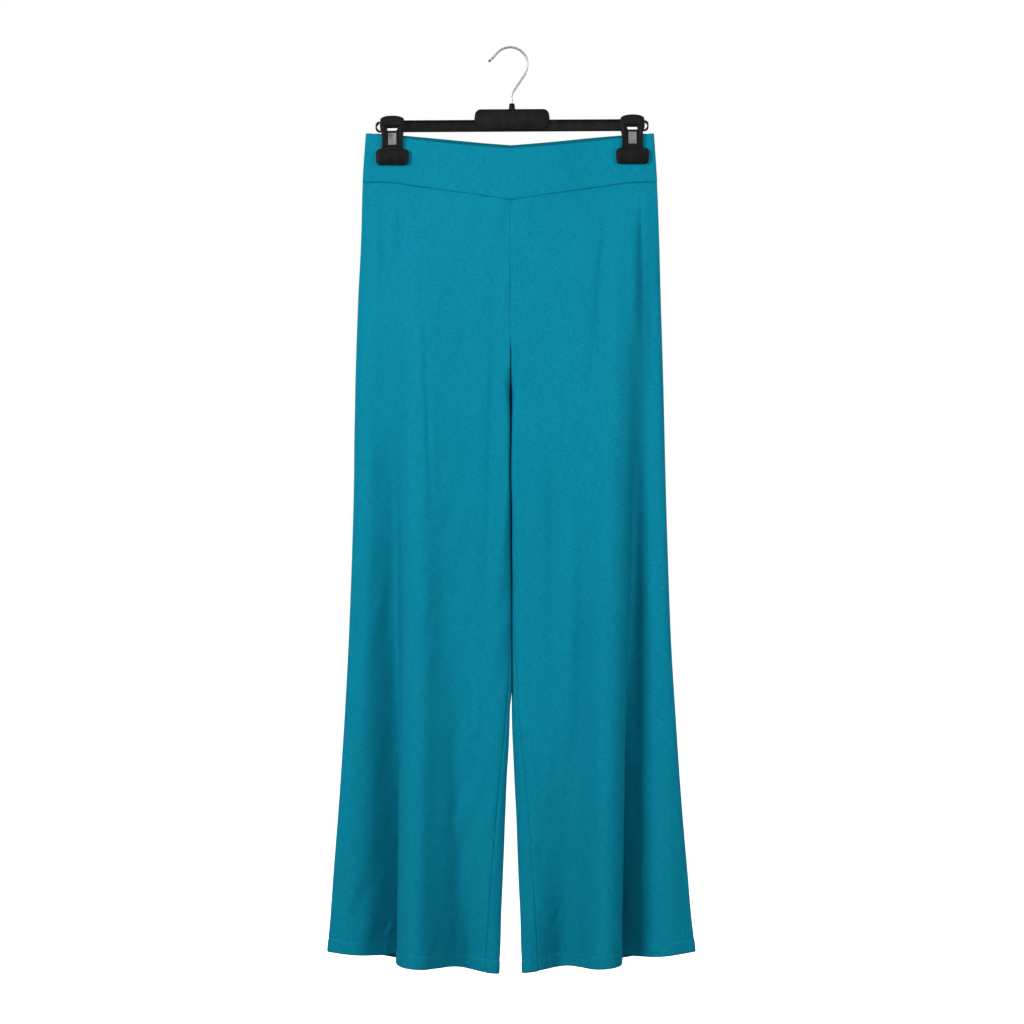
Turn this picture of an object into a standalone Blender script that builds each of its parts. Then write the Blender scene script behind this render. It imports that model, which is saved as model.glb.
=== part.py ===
"""Wide-legged knitted trousers hanging from a plastic clip hanger.

The origin is the inside of the hook's top, where the rail that holds the hanger bears on it.
X runs to the right seen from the front, Y away from the front and Z up. Sizes are in
millimetres and MM turns them into Blender's metres. A "drop" is a distance below the origin,
and "across" is a distance outwards from the middle of the trousers.
"""

import math
from collections import namedtuple

import bmesh
import bpy
import numpy as np

MM = 0.001
SEAM_GAP = 0.3            # clear space between two pieces that are sewn or clamped together
LEG_WALL = 1.4            # firm double knit
BAND_WALL = 2.6           # the waistband is the same knit, doubled
MIDDLE_X = 0.8            # where the middle of the trousers hangs
SIDES = {"left": -1.0, "right": 1.0}
FACES = {"front": -1.0, "back": 1.0}

# ---- The trousers -------------------------------------------------------------------------

# One row for each height. left and right are the side seams' distances from the middle, gap is
# half the space between the legs, and front and back are how far the cloth stands off the
# plane of the side seams halfway across a leg, then at its inner side. side_round and
# inner_round are how far from its edges a leg's section starts to close.
Section = namedtuple(
    "Section", "drop left right gap seam_y front front_in back back_in side_round inner_round")
SECTIONS = [
    Section(100, 180.3, 178.3, 1.0, 0, 7, 8.5, 8, 10, 30, 0),
    Section(170, 185.0, 182.9, 1.0, 0, 11, 13, 12, 14, 34, 0),
    Section(240, 186.7, 185.3, 1.0, 0, 15, 18, 18, 21, 38, 0),
    Section(315, 190.4, 187.3, 1.0, 0, 17, 20, 22, 26, 40, 0),
    Section(377, 192.6, 189.2, 1.0, 0, 18, 20, 25, 28, 40, 0),
    Section(418, 193.8, 190.4, 1.0, 0, 18, 19, 26, 28, 40, 5),
    Section(446, 194.3, 191.1, 1.0, 0, 18, 19, 27, 28, 40, 4),
    Section(490, 195.1, 192.1, 1.0, 0, 18, 18, 28, 28, 42, 4),
    Section(540, 195.6, 193.3, 1.0, 0, 17, 17, 28, 28, 44, 6),
    Section(640, 198.3, 196.3, 1.0, 1, 16, 15, 31, 28, 48, 11),
    Section(740, 202.3, 200.2, 1.0, 2, 14, 13, 35, 29, 54, 14),
    Section(840, 207.7, 206.3, 1.8, 3, 13, 12, 39, 30, 60, 18),
    Section(940, 214.3, 213.2, 6.4, 4, 12, 11, 43, 31, 66, 21),
    Section(1040, 222.1, 221.8, 10.4, 5, 11, 10, 48, 32, 70, 24),
    Section(1090, 225.7, 226.2, 12.5, 5, 10, 9, 50, 32, 72, 25),
    Section(1130, 229.3, 231.1, 13.8, 5, 10, 8, 52, 32, 74, 26),
    Section(1170, 232.6, 235.4, 15.2, 5, 10, 8, 53, 32, 75, 26),
]

# One row for each hanging fold. It starts at one drop and is full at another, fades out over
# FOLD_FADE below end, and its middle moves from across_top to across_hem. A depth above 0 is a
# valley and below 0 a ridge. A fold with a lobe is a big one: a valley on its outer side, and
# on its inner side a lobe that stands forward and laps over the valley.
Fold = namedtuple(
    "Fold", "leg face across_top across_hem start full end depth width lobe lap growth")
NO_END = 2000
FOLDS = [
    Fold("left", "front", 132.0, 141.0, 190, 1130, NO_END, 39, 20, 27, 27, 1.0),
    Fold("left", "front", 88.0, 70.0, 600, 1130, NO_END, 25, 20, 0, 0, 3.2),
    Fold("left", "front", 107.0, 72.0, 230, 620, 900, 4.0, 12, 0, 0, 1.0),
    Fold("left", "front", 20.0, 42.0, 240, 300, 660, 1.6, 7, 0, 0, 1.0),
    Fold("right", "front", 155.0, 137.2, 190, 1130, NO_END, 39, 18, 26, 28, 1.0),
    Fold("right", "front", 86.0, 69.0, 600, 1130, NO_END, 26, 21, 0, 0, 3.2),
    Fold("right", "front", 120.3, 71.5, 180, 420, 860, 4.0, 9, 0, 0, 1.0),
    Fold("right", "front", 52.8, 55.0, 470, 560, 780, 2.0, 8, 0, 0, 1.0),
    Fold("right", "front", 190.0, 192.0, 760, 1130, NO_END, -4, 14, 0, 0, 1.0),
    Fold("left", "back", 100.0, 94.0, 250, 1130, NO_END, 26, 24, 26, 24, 1.4),
    Fold("left", "back", 156.0, 166.0, 480, 1130, NO_END, 6, 16, 0, 0, 1.2),
    Fold("left", "back", 42.0, 40.0, 330, 1130, NO_END, 8, 15, 0, 0, 1.2),
    Fold("right", "back", 90.0, 93.0, 250, 1130, NO_END, 25, 24, 24, 22, 1.4),
    Fold("right", "back", 40.0, 34.0, 400, 1130, NO_END, 6, 15, 0, 0, 1.2),
    Fold("right", "back", 160.0, 172.0, 520, 1130, NO_END, 6, 16, 0, 0, 1.2),
]
FOLD_FADE = 120           # a fold with an end dies out over this much drop
LAP_START = 430           # drop at which the big folds begin to double back
LAP_FROM, LAP_OVER = 0.6, 1.9    # where a lobe stops lapping over its valley, in fold widths
FOLD_REACH = 1.8          # half the width of a big fold's own columns, in fold widths
LOBE_BLEND = 30           # across, over which a big fold's width changes to its lobe's
EDGE_CALM = 16            # no fold within this distance of a leg's edges

# A section is a flat oval at the hips and comes closer to a pointed one towards the hem.
POINTED_FROM, POINTED_OVER = 250.0, 700.0
POINTED_SHARE = 0.25
SEAM_THIN_FROM, SEAM_THIN_OVER = 400.0, 500.0    # drops where the side seams lie flatter
SEAM_THIN_SHARE = 0.3

# Where the waistband's lower seam, its top edges and the hem run.
YOKE_SIDE = 167.6         # drop of the yoke seam at the side seams
YOKE_DIP = 22.0           # how much lower it lies in the middle
YOKE_FLAT = 150.0         # across, where it levels out
YOKE_SOFTNESS = 0.004     # how softly it does so
BAND_TOP_SIDE = 107.0     # drop of the waistband's top at the sides
BAND_TOP_DIP = {"front": 19.4, "back": 11.5}
BAND_TOP_FLAT = 161.0     # across, where the top edge levels out
HEM_SIDE = 1129.8         # drop of the hem at the side seams
HEM_FALL = {"left": 27.5, "right": 26.5}     # how much lower it hangs at the inner edges
BACK_HEM_EXTRA = 6.0      # the back's hem hangs lower still, halfway across

# The centre seams, the fork and the inseams.
CENTRE_SEAM_END = {"front": 377.0, "back": 364.0}   # drop where the legs begin to part
FORK = 446.0              # drop of the point where four seams meet
FORK_BEHIND = 8.0         # how far behind the legs' inner edge it lies
FORK_CURVE = 1.8          # how late the centre seams turn towards it
SEAM_RUN = 4.0            # length of cloth that shows which way a panel faces at its centre seam
SEAM_FACING = 0.75        # least share of the wall that lies across the seam at the parting
PARTING_BLEND = 14.0      # drop over which that share comes in
MIDDLE_CALM = 10.0        # distance from a centre seam over which a panel is drawn to the middle
Inseam = namedtuple("Inseam", "drop left right")    # distance round the front of the inner edge
INSEAMS = [
    Inseam(FORK, -FORK_BEHIND, -FORK_BEHIND),
    Inseam(640, 0, 2),
    Inseam(788, 7, 11),
    Inseam(940, 14, 19),
    Inseam(1170, 20, 23),
]

# The clips press the two walls of the waistband together.
PINCH_FROM = 30.0         # across, where the cloth starts to close towards a clip
PINCH_FULL = 127.0
PINCH_DROP = 150.0        # drop below which it opens again
PINCH_FADE = 120.0

SECTION_SAMPLES = 420
LEVEL_STEP = 5.0          # drop between two worked-out sections
Grid = namedtuple("Grid", "outer fold inner above_fork fork below")
LEG_GRID = Grid(outer=4, fold=19, inner=8, above_fork=6, fork=4, below=11)
OUTER_LEAST = 0.04        # least share of a leg's width that the outer columns have
INNER_CROWDING = 1.4      # how much closer the columns stand at the inner seam
BAND_COLUMNS = 30
BAND_ROWS = 4

# ---- The hanger ---------------------------------------------------------------------------

TILT = math.radians(0.3)  # the hanger's right end hangs a little higher
STEM_X = 2.0              # the hook's stem, beside the point that it hangs from

WIRE_RADIUS = 1.35
HOOK_RADIUS = 22.0        # of the wire's middle line
HOOK_TIP_RUN = 13.0       # straight length before the tip
HOOK_TIP_ANGLE = math.radians(140)
HOOK_LEAVE_ANGLE = math.radians(-33.5)
HOOK_TIP_BEND = (-0.9, -0.5)     # how far the tip turns out of that straight
STEM_TOP = 52.5           # drop where the slanting run starts to turn into the stem
STEM_TOP_ASIDE = 3.0      # how far beside the stem that is
STEM_KNEE = (0.2, 56.9)   # where the bend would have its corner
STEM_STRAIGHT = 62.0
STEM_END = 88.0

BAR_TOP = 89.8
BAR_BOTTOM = 103.8
BAR_DEPTH = 8.0
BAR_HALF = 133.0          # half the length of the flanged part, from the stem
FLANGE = 2.0
WEB = 3.0

PLATE_TOP = 76.6
PLATE_DEPTH = 10.4
PLATE_TOP_HALF = 45.6
PLATE_WAIST_HALF = 47.4
PLATE_FOOT_HALF = 41.0
PLATE_WAIST = BAR_TOP + 0.6
PLATE_FOOT = BAR_BOTTOM - 1.0
PLATE_CORNER = 6.8
PLATE_WAIST_CORNER = 2.0
PLATE_FOOT_CORNER = 1.0

BOSS_TOP = 69.2
BOSS_FOOT = PLATE_TOP + 2.0      # sunk into the plate
BOSS_TOP_RADIUS = 3.4
BOSS_FOOT_RADIUS = 4.75
STEM_BORE = WIRE_RADIUS + SEAM_GAP
BORE_TOP = BOSS_TOP - 2.0
BORE_END = STEM_END + SEAM_GAP

LOOP_DEPTH = 6.0
LOOP_RAIL = 1.9           # thickness of the open loop at each end of the bar
LOOP_HALF = 170.7         # half the hanger's length
LOOP_ROOT = BAR_HALF - 4.0       # where a loop starts, inside the bar's end
LOOP_SOLID = 6.0          # length of its root before the hole
LOOP_TOP = BAR_TOP + 1.2
LOOP_FOOT = BAR_BOTTOM + 0.6
LOOP_CORNER = 4.0

CLIP_ACROSS = {"left": -147.6, "right": 152.2}
JAW_INNER = BAR_DEPTH / 2 + SEAM_GAP
JAW_WALL = 2.9
CLIP_HEAD_TOP = 84.2
CLIP_HEAD_HALF = 15.5
CLIP_HEAD_FOOT = 105.5
CLIP_DOME_HALF = 15.0     # half the width of the head's domed top
CLIP_DOME_RISE = 6.0
CLIP_DOME_POWER = 0.8     # below 1 the dome is flatter on top than a half ellipse
CLIP_SHOULDER = CLIP_HEAD_TOP + 12.0     # where the head is widest
CLIP_HEAD_TAPER = 0.6     # how much narrower the head and the arm are at their feet
CLIP_NECK = CLIP_HEAD_FOOT - 3.0
CLIP_ARM_HALF = 13.4
CLIP_ARM_FLARE = 1.4      # how much the arm widens where it joins the pad
CLIP_ARM_FOOT = 122.0
CLIP_ARM_END = 129.0
PAD_TOP = 126.0
PAD_FOOT = 145.6
PAD_HALF = 21.2
PAD_TAPER = 1.5           # how much narrower the pad is at its foot
PAD_CORNER = 5.5
PAD_FRONT = 8.4           # how far the pad stands forward of the middle plane
PAD_INNER = BAND_WALL + SEAM_GAP * 1.5
WINDOW_HALF = 6.5
WINDOW_TOP = 98.3
WINDOW_FOOT = 107.4
WINDOW_CORNER = 1.2
SPRING_HALF = 5.45
SPRING_WALL = 0.8
SPRING_TOP = 104.9
SPRING_FOOT = 120.6
SPRING_BEND = 1.6         # outer radius of the strip's bends
RECESS_DEPTH = 1.3
RECESS_TOP = WINDOW_FOOT - 1.0

CORNER_STEPS = 4          # faces round a rounded corner
DOME_STEPS = 8

# ---- Colours and finishes -----------------------------------------------------------------

Finish = namedtuple("Finish", "color roughness metallic")
FINISHES = {
    "teal_knit": Finish((0.004, 0.243, 0.352, 1), 0.9, 0.0),
    "black_plastic": Finish((0.014, 0.014, 0.015, 1), 0.38, 0.0),
    "chrome_wire": Finish((0.78, 0.78, 0.79, 1), 0.16, 1.0),
    "spring_steel": Finish((0.42, 0.43, 0.44, 1), 0.4, 1.0),
}


# ---- Small helpers ------------------------------------------------------------------------

def clear_scene():
    """Remove whatever the scene holds."""
    for item in list(bpy.data.objects):
        bpy.data.objects.remove(item, do_unlink=True)


def make_collection(name):
    """A new collection under the scene's own."""
    collection = bpy.data.collections.new(name)
    bpy.context.scene.collection.children.link(collection)
    return collection


def make_material(name):
    """A Principled material from the table of finishes."""
    finish = FINISHES[name]
    material = bpy.data.materials.new(name)
    material.use_nodes = True
    shader = material.node_tree.nodes["Principled BSDF"]
    shader.inputs["Base Color"].default_value = finish.color
    shader.inputs["Roughness"].default_value = finish.roughness
    shader.inputs["Metallic"].default_value = finish.metallic
    material.diffuse_color = finish.color
    return material


def smooth(value):
    """Ease from 0 to 1."""
    value = np.clip(value, 0.0, 1.0)
    return value * value * (3.0 - 2.0 * value)


def through(rows, column, drop):
    """A column of a table at any drop, on a smooth curve through its rows."""
    drops = np.array([row.drop for row in rows], dtype=float)
    values = np.array([getattr(row, column) for row in rows], dtype=float)
    slopes = np.gradient(values, drops)
    drop = min(max(drop, drops[0]), drops[-1])
    i = min(max(int(np.searchsorted(drops, drop)) - 1, 0), len(drops) - 2)
    span = drops[i + 1] - drops[i]
    t = (drop - drops[i]) / span
    return float((2 * t**3 - 3 * t**2 + 1) * values[i] + (t**3 - 2 * t**2 + t) * span * slopes[i]
                 + (3 * t**2 - 2 * t**3) * values[i + 1] + (t**3 - t**2) * span * slopes[i + 1])


def arc_lengths(points):
    """Distance along a polyline at each of its points."""
    steps = np.linalg.norm(np.diff(points, axis=0), axis=1)
    return np.concatenate([[0.0], np.cumsum(steps)])


# ---- Sections of the trousers -------------------------------------------------------------

def clip_opening(across, drop):
    """How far the cloth is free of the clips: 0 between the jaws, 1 well away from them."""
    near = smooth((across - PINCH_FROM) / (PINCH_FULL - PINCH_FROM))
    below = smooth((drop - PINCH_DROP) / PINCH_FADE)
    return 1.0 - near * (1.0 - below)


def fold_offsets(leg, face, across, drop):
    """How far the folds of a face move its points, across and into the garment."""
    moved = np.zeros_like(across)
    pushed = np.zeros_like(across)
    for fold in FOLDS:
        if fold.leg != leg or fold.face != face or drop <= fold.start:
            continue
        grown = min((drop - fold.start) / (fold.full - fold.start), 1.0) ** fold.growth
        grown *= 1.0 - smooth((drop - fold.end) / FOLD_FADE)
        fall = (drop - fold.start) / (HEM_SIDE - fold.start)
        centre = fold.across_top + (fold.across_hem - fold.across_top) * fall
        inward = centre - across
        if fold.lobe:
            width = fold.width + (fold.lobe - fold.width) * smooth(inward / LOBE_BLEND + 0.5)
            t = inward / width
            swing = t * np.exp(0.5 - t * t / 2)
            lapped = max(drop - LAP_START, 0.0) / (HEM_SIDE - LAP_START)
            moved += fold.lap * lapped * swing * (1.0 - smooth((t + LAP_FROM) / LAP_OVER))
            pushed -= fold.depth * grown * swing
        else:
            t = inward / fold.width
            pushed += fold.depth * grown * np.exp(-t * t / 2)
    return moved, pushed


def face_points(leg, face, drop, wall):
    """One face of a leg's section: its place u from side to inner edge, across and y."""
    value = {name: through(SECTIONS, name, drop) for name in Section._fields[1:]}
    side, gap = value[leg], value["gap"]
    width = side - gap
    turn = np.linspace(0.0, math.pi, SECTION_SAMPLES)
    u = (1.0 - np.cos(turn)) / 2
    across = side - u * width
    halfway = value[face]
    inner = value[face + "_in"]
    standing = halfway + (inner - halfway) * smooth((u - 0.5) * 2)
    power = 1.0 - POINTED_SHARE * smooth((drop - POINTED_FROM) / POINTED_OVER)
    closing = (1.0 - (1.0 - np.clip(u * width / value["side_round"], 0, 1)) ** 2) ** power
    thinned = 1.0 - SEAM_THIN_SHARE * smooth((drop - SEAM_THIN_FROM) / SEAM_THIN_OVER)
    edge = SEAM_GAP / 2 + wall / 2 * thinned
    depth = edge + (standing - edge) * closing * clip_opening(across, drop)
    calm = smooth(u * width / EDGE_CALM) * smooth((1 - u) * width / EDGE_CALM)
    moved, pushed = fold_offsets(leg, face, across, drop)
    depth = depth - pushed * calm
    across = across + moved * calm
    if value["inner_round"] > 0.01:
        from_edge = np.clip((1 - u) * width / value["inner_round"], 0, 1)
        depth = depth * np.sqrt(1.0 - (1.0 - from_edge) ** 2)
    y = value["seam_y"] + FACES[face] * depth
    u = np.append(u, 1.0)
    across = np.append(across, gap)
    y = np.append(y, value["seam_y"])
    corner_u = 1.0 - value["inner_round"] / width
    return u, np.column_stack([across, y]), corner_u


def panel_end(leg, face, drop, edge_arc, corner_arc):
    """Distance from the side seam, round the section, to the seam at a panel's inner end."""
    start = CENTRE_SEAM_END[face]
    sign = FACES[face]
    if drop <= start:
        return corner_arc
    if drop < FORK:
        reach = ((drop - start) / (FORK - start)) ** FORK_CURVE
        return corner_arc + reach * (edge_arc - sign * FORK_BEHIND - corner_arc)
    return edge_arc + sign * through(INSEAMS, leg, drop) - SEAM_GAP / 2


def columns_at(leg, face, drop, grid, wall):
    """The points of a panel's columns at one drop, with their places u."""
    other = "back" if face == "front" else "front"
    u, points, corner_u = face_points(leg, face, drop, wall)
    u_back, points_back, _ = face_points(leg, other, drop, wall)
    arcs = arc_lengths(points)
    edge_arc = arcs[-1]
    corner_arc = float(np.interp(min(corner_u, 1.0), u[:-1], arcs[:-1]))
    end = panel_end(leg, face, drop, edge_arc, corner_arc)
    path = np.vstack([points, points_back[::-1][1:]])
    path_u = np.concatenate([u, u_back[::-1][1:]])
    path_arcs = arc_lengths(path)

    big = next(f for f in FOLDS if f.leg == leg and f.face == face and f.lobe)
    fall = (drop - big.start) / (HEM_SIDE - big.start)
    centre = big.across_top + (big.across_hem - big.across_top) * fall
    side, gap = through(SECTIONS, leg, drop), through(SECTIONS, "gap", drop)
    reaches = (-FOLD_REACH * big.width, FOLD_REACH * big.lobe)
    fold_u = [(side - centre + reach) / (side - gap) for reach in reaches]
    fold_arcs = [float(np.interp(max(place, OUTER_LEAST), u[:-1], arcs[:-1])) for place in fold_u]
    crowded = 1 - (1 - np.linspace(0, 1, grid.inner + 1)) ** INNER_CROWDING
    wanted = np.concatenate([
        np.linspace(0.0, fold_arcs[0], grid.outer + 1)[:-1],
        np.linspace(fold_arcs[0], fold_arcs[1], grid.fold + 1)[:-1],
        fold_arcs[1] + (end - fold_arcs[1]) * crowded,
    ])
    across = np.interp(wanted, path_arcs, path[:, 0])
    y = np.interp(wanted, path_arcs, path[:, 1])
    if drop < FORK:
        near = np.interp([end - SEAM_RUN, end], path_arcs, path[:, 1])
        facing = min(abs(near[1] - near[0]) / SEAM_RUN, 1.0)
        parting = smooth((drop - CENTRE_SEAM_END[face]) / PARTING_BLEND + 1)
        facing = max(facing, SEAM_FACING * parting)
        target = SEAM_GAP / 2 + wall / 2 * facing
        across = across + (target - across[-1]) * np.exp(-((end - wanted) / MIDDLE_CALM) ** 2)
    return np.column_stack([across, y, np.interp(wanted, path_arcs, path_u)])


def yoke_drop(across):
    """Drop of the seam under the waistband."""
    rise = 1.0 - across / YOKE_FLAT
    softened = (rise + np.sqrt(rise * rise + YOKE_SOFTNESS)) / 2
    return YOKE_SIDE + YOKE_DIP * softened


def band_top_drop(face, across):
    """Drop of the waistband's top edge."""
    return BAND_TOP_SIDE + BAND_TOP_DIP[face] * (1.0 - smooth(across / BAND_TOP_FLAT))


def hem_drop(leg, face, u):
    """Drop of the hem at a place u between the side seam and the inner edge."""
    extra = BACK_HEM_EXTRA * np.sin(np.pi * u) ** 2 if face == "back" else 0.0
    return HEM_SIDE + HEM_FALL[leg] * u + extra


# ---- Making the cloth ---------------------------------------------------------------------

def grid_object(name, points, wall, collection, material):
    """A sheet through an array of points in millimetres, given a wall by Solidify."""
    rows, columns = points.shape[0] - 1, points.shape[1] - 1
    bm = bmesh.new()
    bmesh.ops.create_grid(bm, x_segments=columns, y_segments=rows, size=1.0)
    for vert in bm.verts:
        column = round((vert.co.x + 1) / 2 * columns)
        row = round((vert.co.y + 1) / 2 * rows)
        vert.co = points[row, column] * MM
    mesh = bpy.data.meshes.new(name)
    bm.to_mesh(mesh)
    bm.free()
    mesh.shade_smooth()
    mesh.materials.append(material)
    sheet = bpy.data.objects.new(name, mesh)
    collection.objects.link(sheet)
    solidify = sheet.modifiers.new("wall", "SOLIDIFY")
    solidify.thickness = wall * MM
    solidify.offset = 0.0
    solidify.use_even_offset = True
    return sheet


def leg_panel(leg, face, grid, collection, material):
    """One of the four cut pieces of the legs, from the yoke seam to the hem."""
    start = CENTRE_SEAM_END[face]
    lowest = HEM_SIDE + HEM_FALL[leg] + BACK_HEM_EXTRA + LEVEL_STEP
    levels = np.unique(np.concatenate([
        np.arange(YOKE_SIDE - LEVEL_STEP, lowest, LEVEL_STEP), [start, FORK - 0.01, FORK]]))
    lattice = np.array([columns_at(leg, face, level, grid, LEG_WALL) for level in levels])
    count = lattice.shape[1]

    top = np.array([yoke_drop(np.interp(YOKE_SIDE, levels, lattice[:, c, 0]))
                    for c in range(count)]) + SEAM_GAP / 2
    hem = hem_drop(leg, face, np.array([
        np.interp(HEM_SIDE, levels, lattice[:, c, 2]) for c in range(count)]))
    keys = [top[-1], start, FORK, hem[-1]]
    parts = [grid.above_fork, grid.fork, grid.below]
    heights = np.concatenate([np.linspace(keys[i], keys[i + 1], parts[i] + 1)[:-1]
                              for i in range(3)] + [[keys[3]]])
    shares = (heights - top[-1]) / (hem[-1] - top[-1])

    points = np.zeros((len(shares), count, 3))
    for c in range(count):
        drops = top[c] + shares * (hem[c] - top[c])
        across = np.interp(drops, levels, lattice[:, c, 0])
        points[:, c, 0] = MIDDLE_X + SIDES[leg] * across
        points[:, c, 1] = np.interp(drops, levels, lattice[:, c, 1])
        points[:, c, 2] = -drops
    return grid_object(f"{face}_leg_{leg}", points, LEG_WALL, collection, material)


def band_y(face, x, drop):
    """Where the waistband's middle surface lies at a point of the front view."""
    leg = "left" if x < MIDDLE_X else "right"
    u, points, _ = face_points(leg, face, drop, BAND_WALL)
    return float(np.interp(-abs(x - MIDDLE_X), -points[:-1, 0], points[:-1, 1]))


def waistband(face, collection, material):
    """The front or back half of the waistband, from side seam to side seam."""
    points = np.zeros((BAND_ROWS + 1, BAND_COLUMNS + 1, 3))
    for c in range(BAND_COLUMNS + 1):
        way = c / BAND_COLUMNS * 2 - 1
        leg = "left" if way < 0 else "right"
        across_top = abs(way) * through(SECTIONS, leg, BAND_TOP_SIDE)
        top = float(band_top_drop(face, across_top))
        foot = float(yoke_drop(abs(way) * through(SECTIONS, leg, YOKE_SIDE))) - SEAM_GAP / 2
        for r in range(BAND_ROWS + 1):
            drop = top + (foot - top) * r / BAND_ROWS
            x = MIDDLE_X + way * through(SECTIONS, leg, drop)
            points[r, c] = (x, band_y(face, x, drop), -drop)
    return grid_object(f"waistband_{face}", points, BAND_WALL, collection, material)


# ---- Making the hanger --------------------------------------------------------------------

def rounded(points, radii):
    """An outline with its corners replaced by arcs of the given radii."""
    outline = []
    count = len(points)
    for i in range(count):
        corner = np.array(points[i], dtype=float)
        before = np.array(points[i - 1], dtype=float) - corner
        after = np.array(points[(i + 1) % count], dtype=float) - corner
        radius = radii[i] if isinstance(radii, (list, tuple)) else radii
        if radius <= 0:
            outline.append(tuple(corner))
            continue
        before /= np.linalg.norm(before)
        after /= np.linalg.norm(after)
        half = math.acos(max(-1.0, min(1.0, float(before @ after)))) / 2
        reach = radius / math.tan(half)
        middle = before + after
        centre = corner + middle / np.linalg.norm(middle) * radius / math.sin(half)
        start = corner + before * reach - centre
        end = corner + after * reach - centre
        first = math.atan2(start[1], start[0])
        sweep = math.atan2(end[1], end[0]) - first
        sweep = (sweep + math.pi) % (2 * math.pi) - math.pi
        for step in range(CORNER_STEPS + 1):
            angle = first + sweep * step / CORNER_STEPS
            outline.append(tuple(centre + radius * np.array([math.cos(angle), math.sin(angle)])))
    return outline


def prism(name, outlines, depth, collection):
    """A flat plate in the XZ plane from outlines of (x, drop), centred on y = 0."""
    curve = bpy.data.curves.new(name, "CURVE")
    curve.dimensions = "2D"
    curve.fill_mode = "BOTH"
    curve.extrude = depth / 2 * MM
    for outline in outlines:
        spline = curve.splines.new("POLY")
        spline.points.add(len(outline) - 1)
        for point, (x, drop) in zip(spline.points, outline):
            point.co = (x * MM, -drop * MM, 0.0, 1.0)
        spline.use_cyclic_u = True
    plate = bpy.data.objects.new(name, curve)
    plate.rotation_euler = (math.pi / 2, 0.0, 0.0)
    collection.objects.link(plate)
    return as_mesh(plate)


def as_mesh(shape):
    """The same shape as a mesh object, with its caps welded and its place kept."""
    bpy.context.view_layer.update()
    evaluated = shape.evaluated_get(bpy.context.evaluated_depsgraph_get())
    mesh = bpy.data.meshes.new_from_object(evaluated)
    bm = bmesh.new()
    bm.from_mesh(mesh)
    bmesh.ops.remove_doubles(bm, verts=bm.verts, dist=1e-6)
    bm.to_mesh(mesh)
    bm.free()
    copy = bpy.data.objects.new(shape.name, mesh)
    copy.matrix_world = shape.matrix_world
    for collection in shape.users_collection:
        collection.objects.link(copy)
    name = shape.name
    bpy.data.objects.remove(shape, do_unlink=True)
    copy.name = name
    return copy


def turn_along_x(shape, x):
    """Turn a prism from the XZ plane so that it runs along X, with its middle at x."""
    for vert in shape.data.vertices:
        first, second, along = vert.co
        vert.co = (along + x * MM, second, -first)


def box(name, low, high, collection):
    """A block between two corners, from a cube primitive."""
    bpy.ops.mesh.primitive_cube_add(size=1.0)
    block = bpy.context.object
    block.name = name
    for owner in list(block.users_collection):
        owner.objects.unlink(block)
    collection.objects.link(block)
    for vert in block.data.vertices:
        for axis in range(3):
            vert.co[axis] = (low[axis] if vert.co[axis] < 0 else high[axis]) * MM
    return block


def boolean(target, operation, cutter, cutters):
    """Join a shape to another, or cut it away, and put the tool aside."""
    modifier = target.modifiers.new(cutter.name, "BOOLEAN")
    modifier.operation = operation
    modifier.object = cutter
    cutter.hide_render = True
    cutter.display_type = "WIRE"
    for owner in list(cutter.users_collection):
        owner.objects.unlink(cutter)
    cutters.objects.link(cutter)


def finish_piece(piece, parent, material):
    """Give a hanger piece its material and hang it from the hanger's empty."""
    piece.data.materials.clear()
    piece.data.materials.append(material)
    piece.parent = parent


def hook_path():
    """Middle line of the hook's wire as (x, drop), from its tip to the end of its stem."""
    centre_drop = HOOK_RADIUS - WIRE_RADIUS
    sweep = np.linspace(HOOK_TIP_ANGLE, HOOK_LEAVE_ANGLE, 24)
    arc = np.column_stack([HOOK_RADIUS * np.cos(sweep), centre_drop - HOOK_RADIUS * np.sin(sweep)])
    tip_way = np.array([-math.sin(HOOK_TIP_ANGLE), -math.cos(HOOK_TIP_ANGLE)])
    tip = [arc[0] + tip_way * HOOK_TIP_RUN * share for share in (1.0, 0.66, 0.33)]
    tip[0] += np.array(HOOK_TIP_BEND)
    leave = arc[-1]
    slant_end = np.array([STEM_X + STEM_TOP_ASIDE, STEM_TOP])
    straight = np.array([STEM_X, STEM_STRAIGHT])
    knee = np.array([STEM_X, 0.0]) + STEM_KNEE
    turns = []
    for share in np.linspace(0.0, 1.0, 6):
        turns.append((1 - share) ** 2 * slant_end + 2 * share * (1 - share) * knee
                     + share ** 2 * straight)
    slant = [leave + (slant_end - leave) * share for share in (0.33, 0.66)]
    return [*tip, *arc, *slant, *turns, np.array([STEM_X, STEM_END])]


def make_hook(collection, parent, material):
    """The bent wire hook, a round curve with filled ends."""
    curve = bpy.data.curves.new("hanger_hook", "CURVE")
    curve.dimensions = "3D"
    curve.bevel_depth = WIRE_RADIUS * MM
    curve.bevel_resolution = 3
    curve.use_fill_caps = True
    path = hook_path()
    spline = curve.splines.new("POLY")
    spline.points.add(len(path) - 1)
    for point, (x, drop) in zip(spline.points, path):
        point.co = (x * MM, 0.0, -drop * MM, 1.0)
    hook = bpy.data.objects.new("hanger_hook", curve)
    collection.objects.link(hook)
    hook = as_mesh(hook)
    hook.data.shade_smooth()
    finish_piece(hook, parent, material)


def bar_section():
    """The flanged bar's section as (y, drop)."""
    y, web = BAR_DEPTH / 2, WEB / 2
    upper, lower = BAR_TOP + FLANGE, BAR_BOTTOM - FLANGE
    half = [(y, BAR_TOP), (y, upper), (web, upper), (web, lower), (y, lower), (y, BAR_BOTTOM)]
    return half + [(-a, b) for a, b in reversed(half)]


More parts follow.
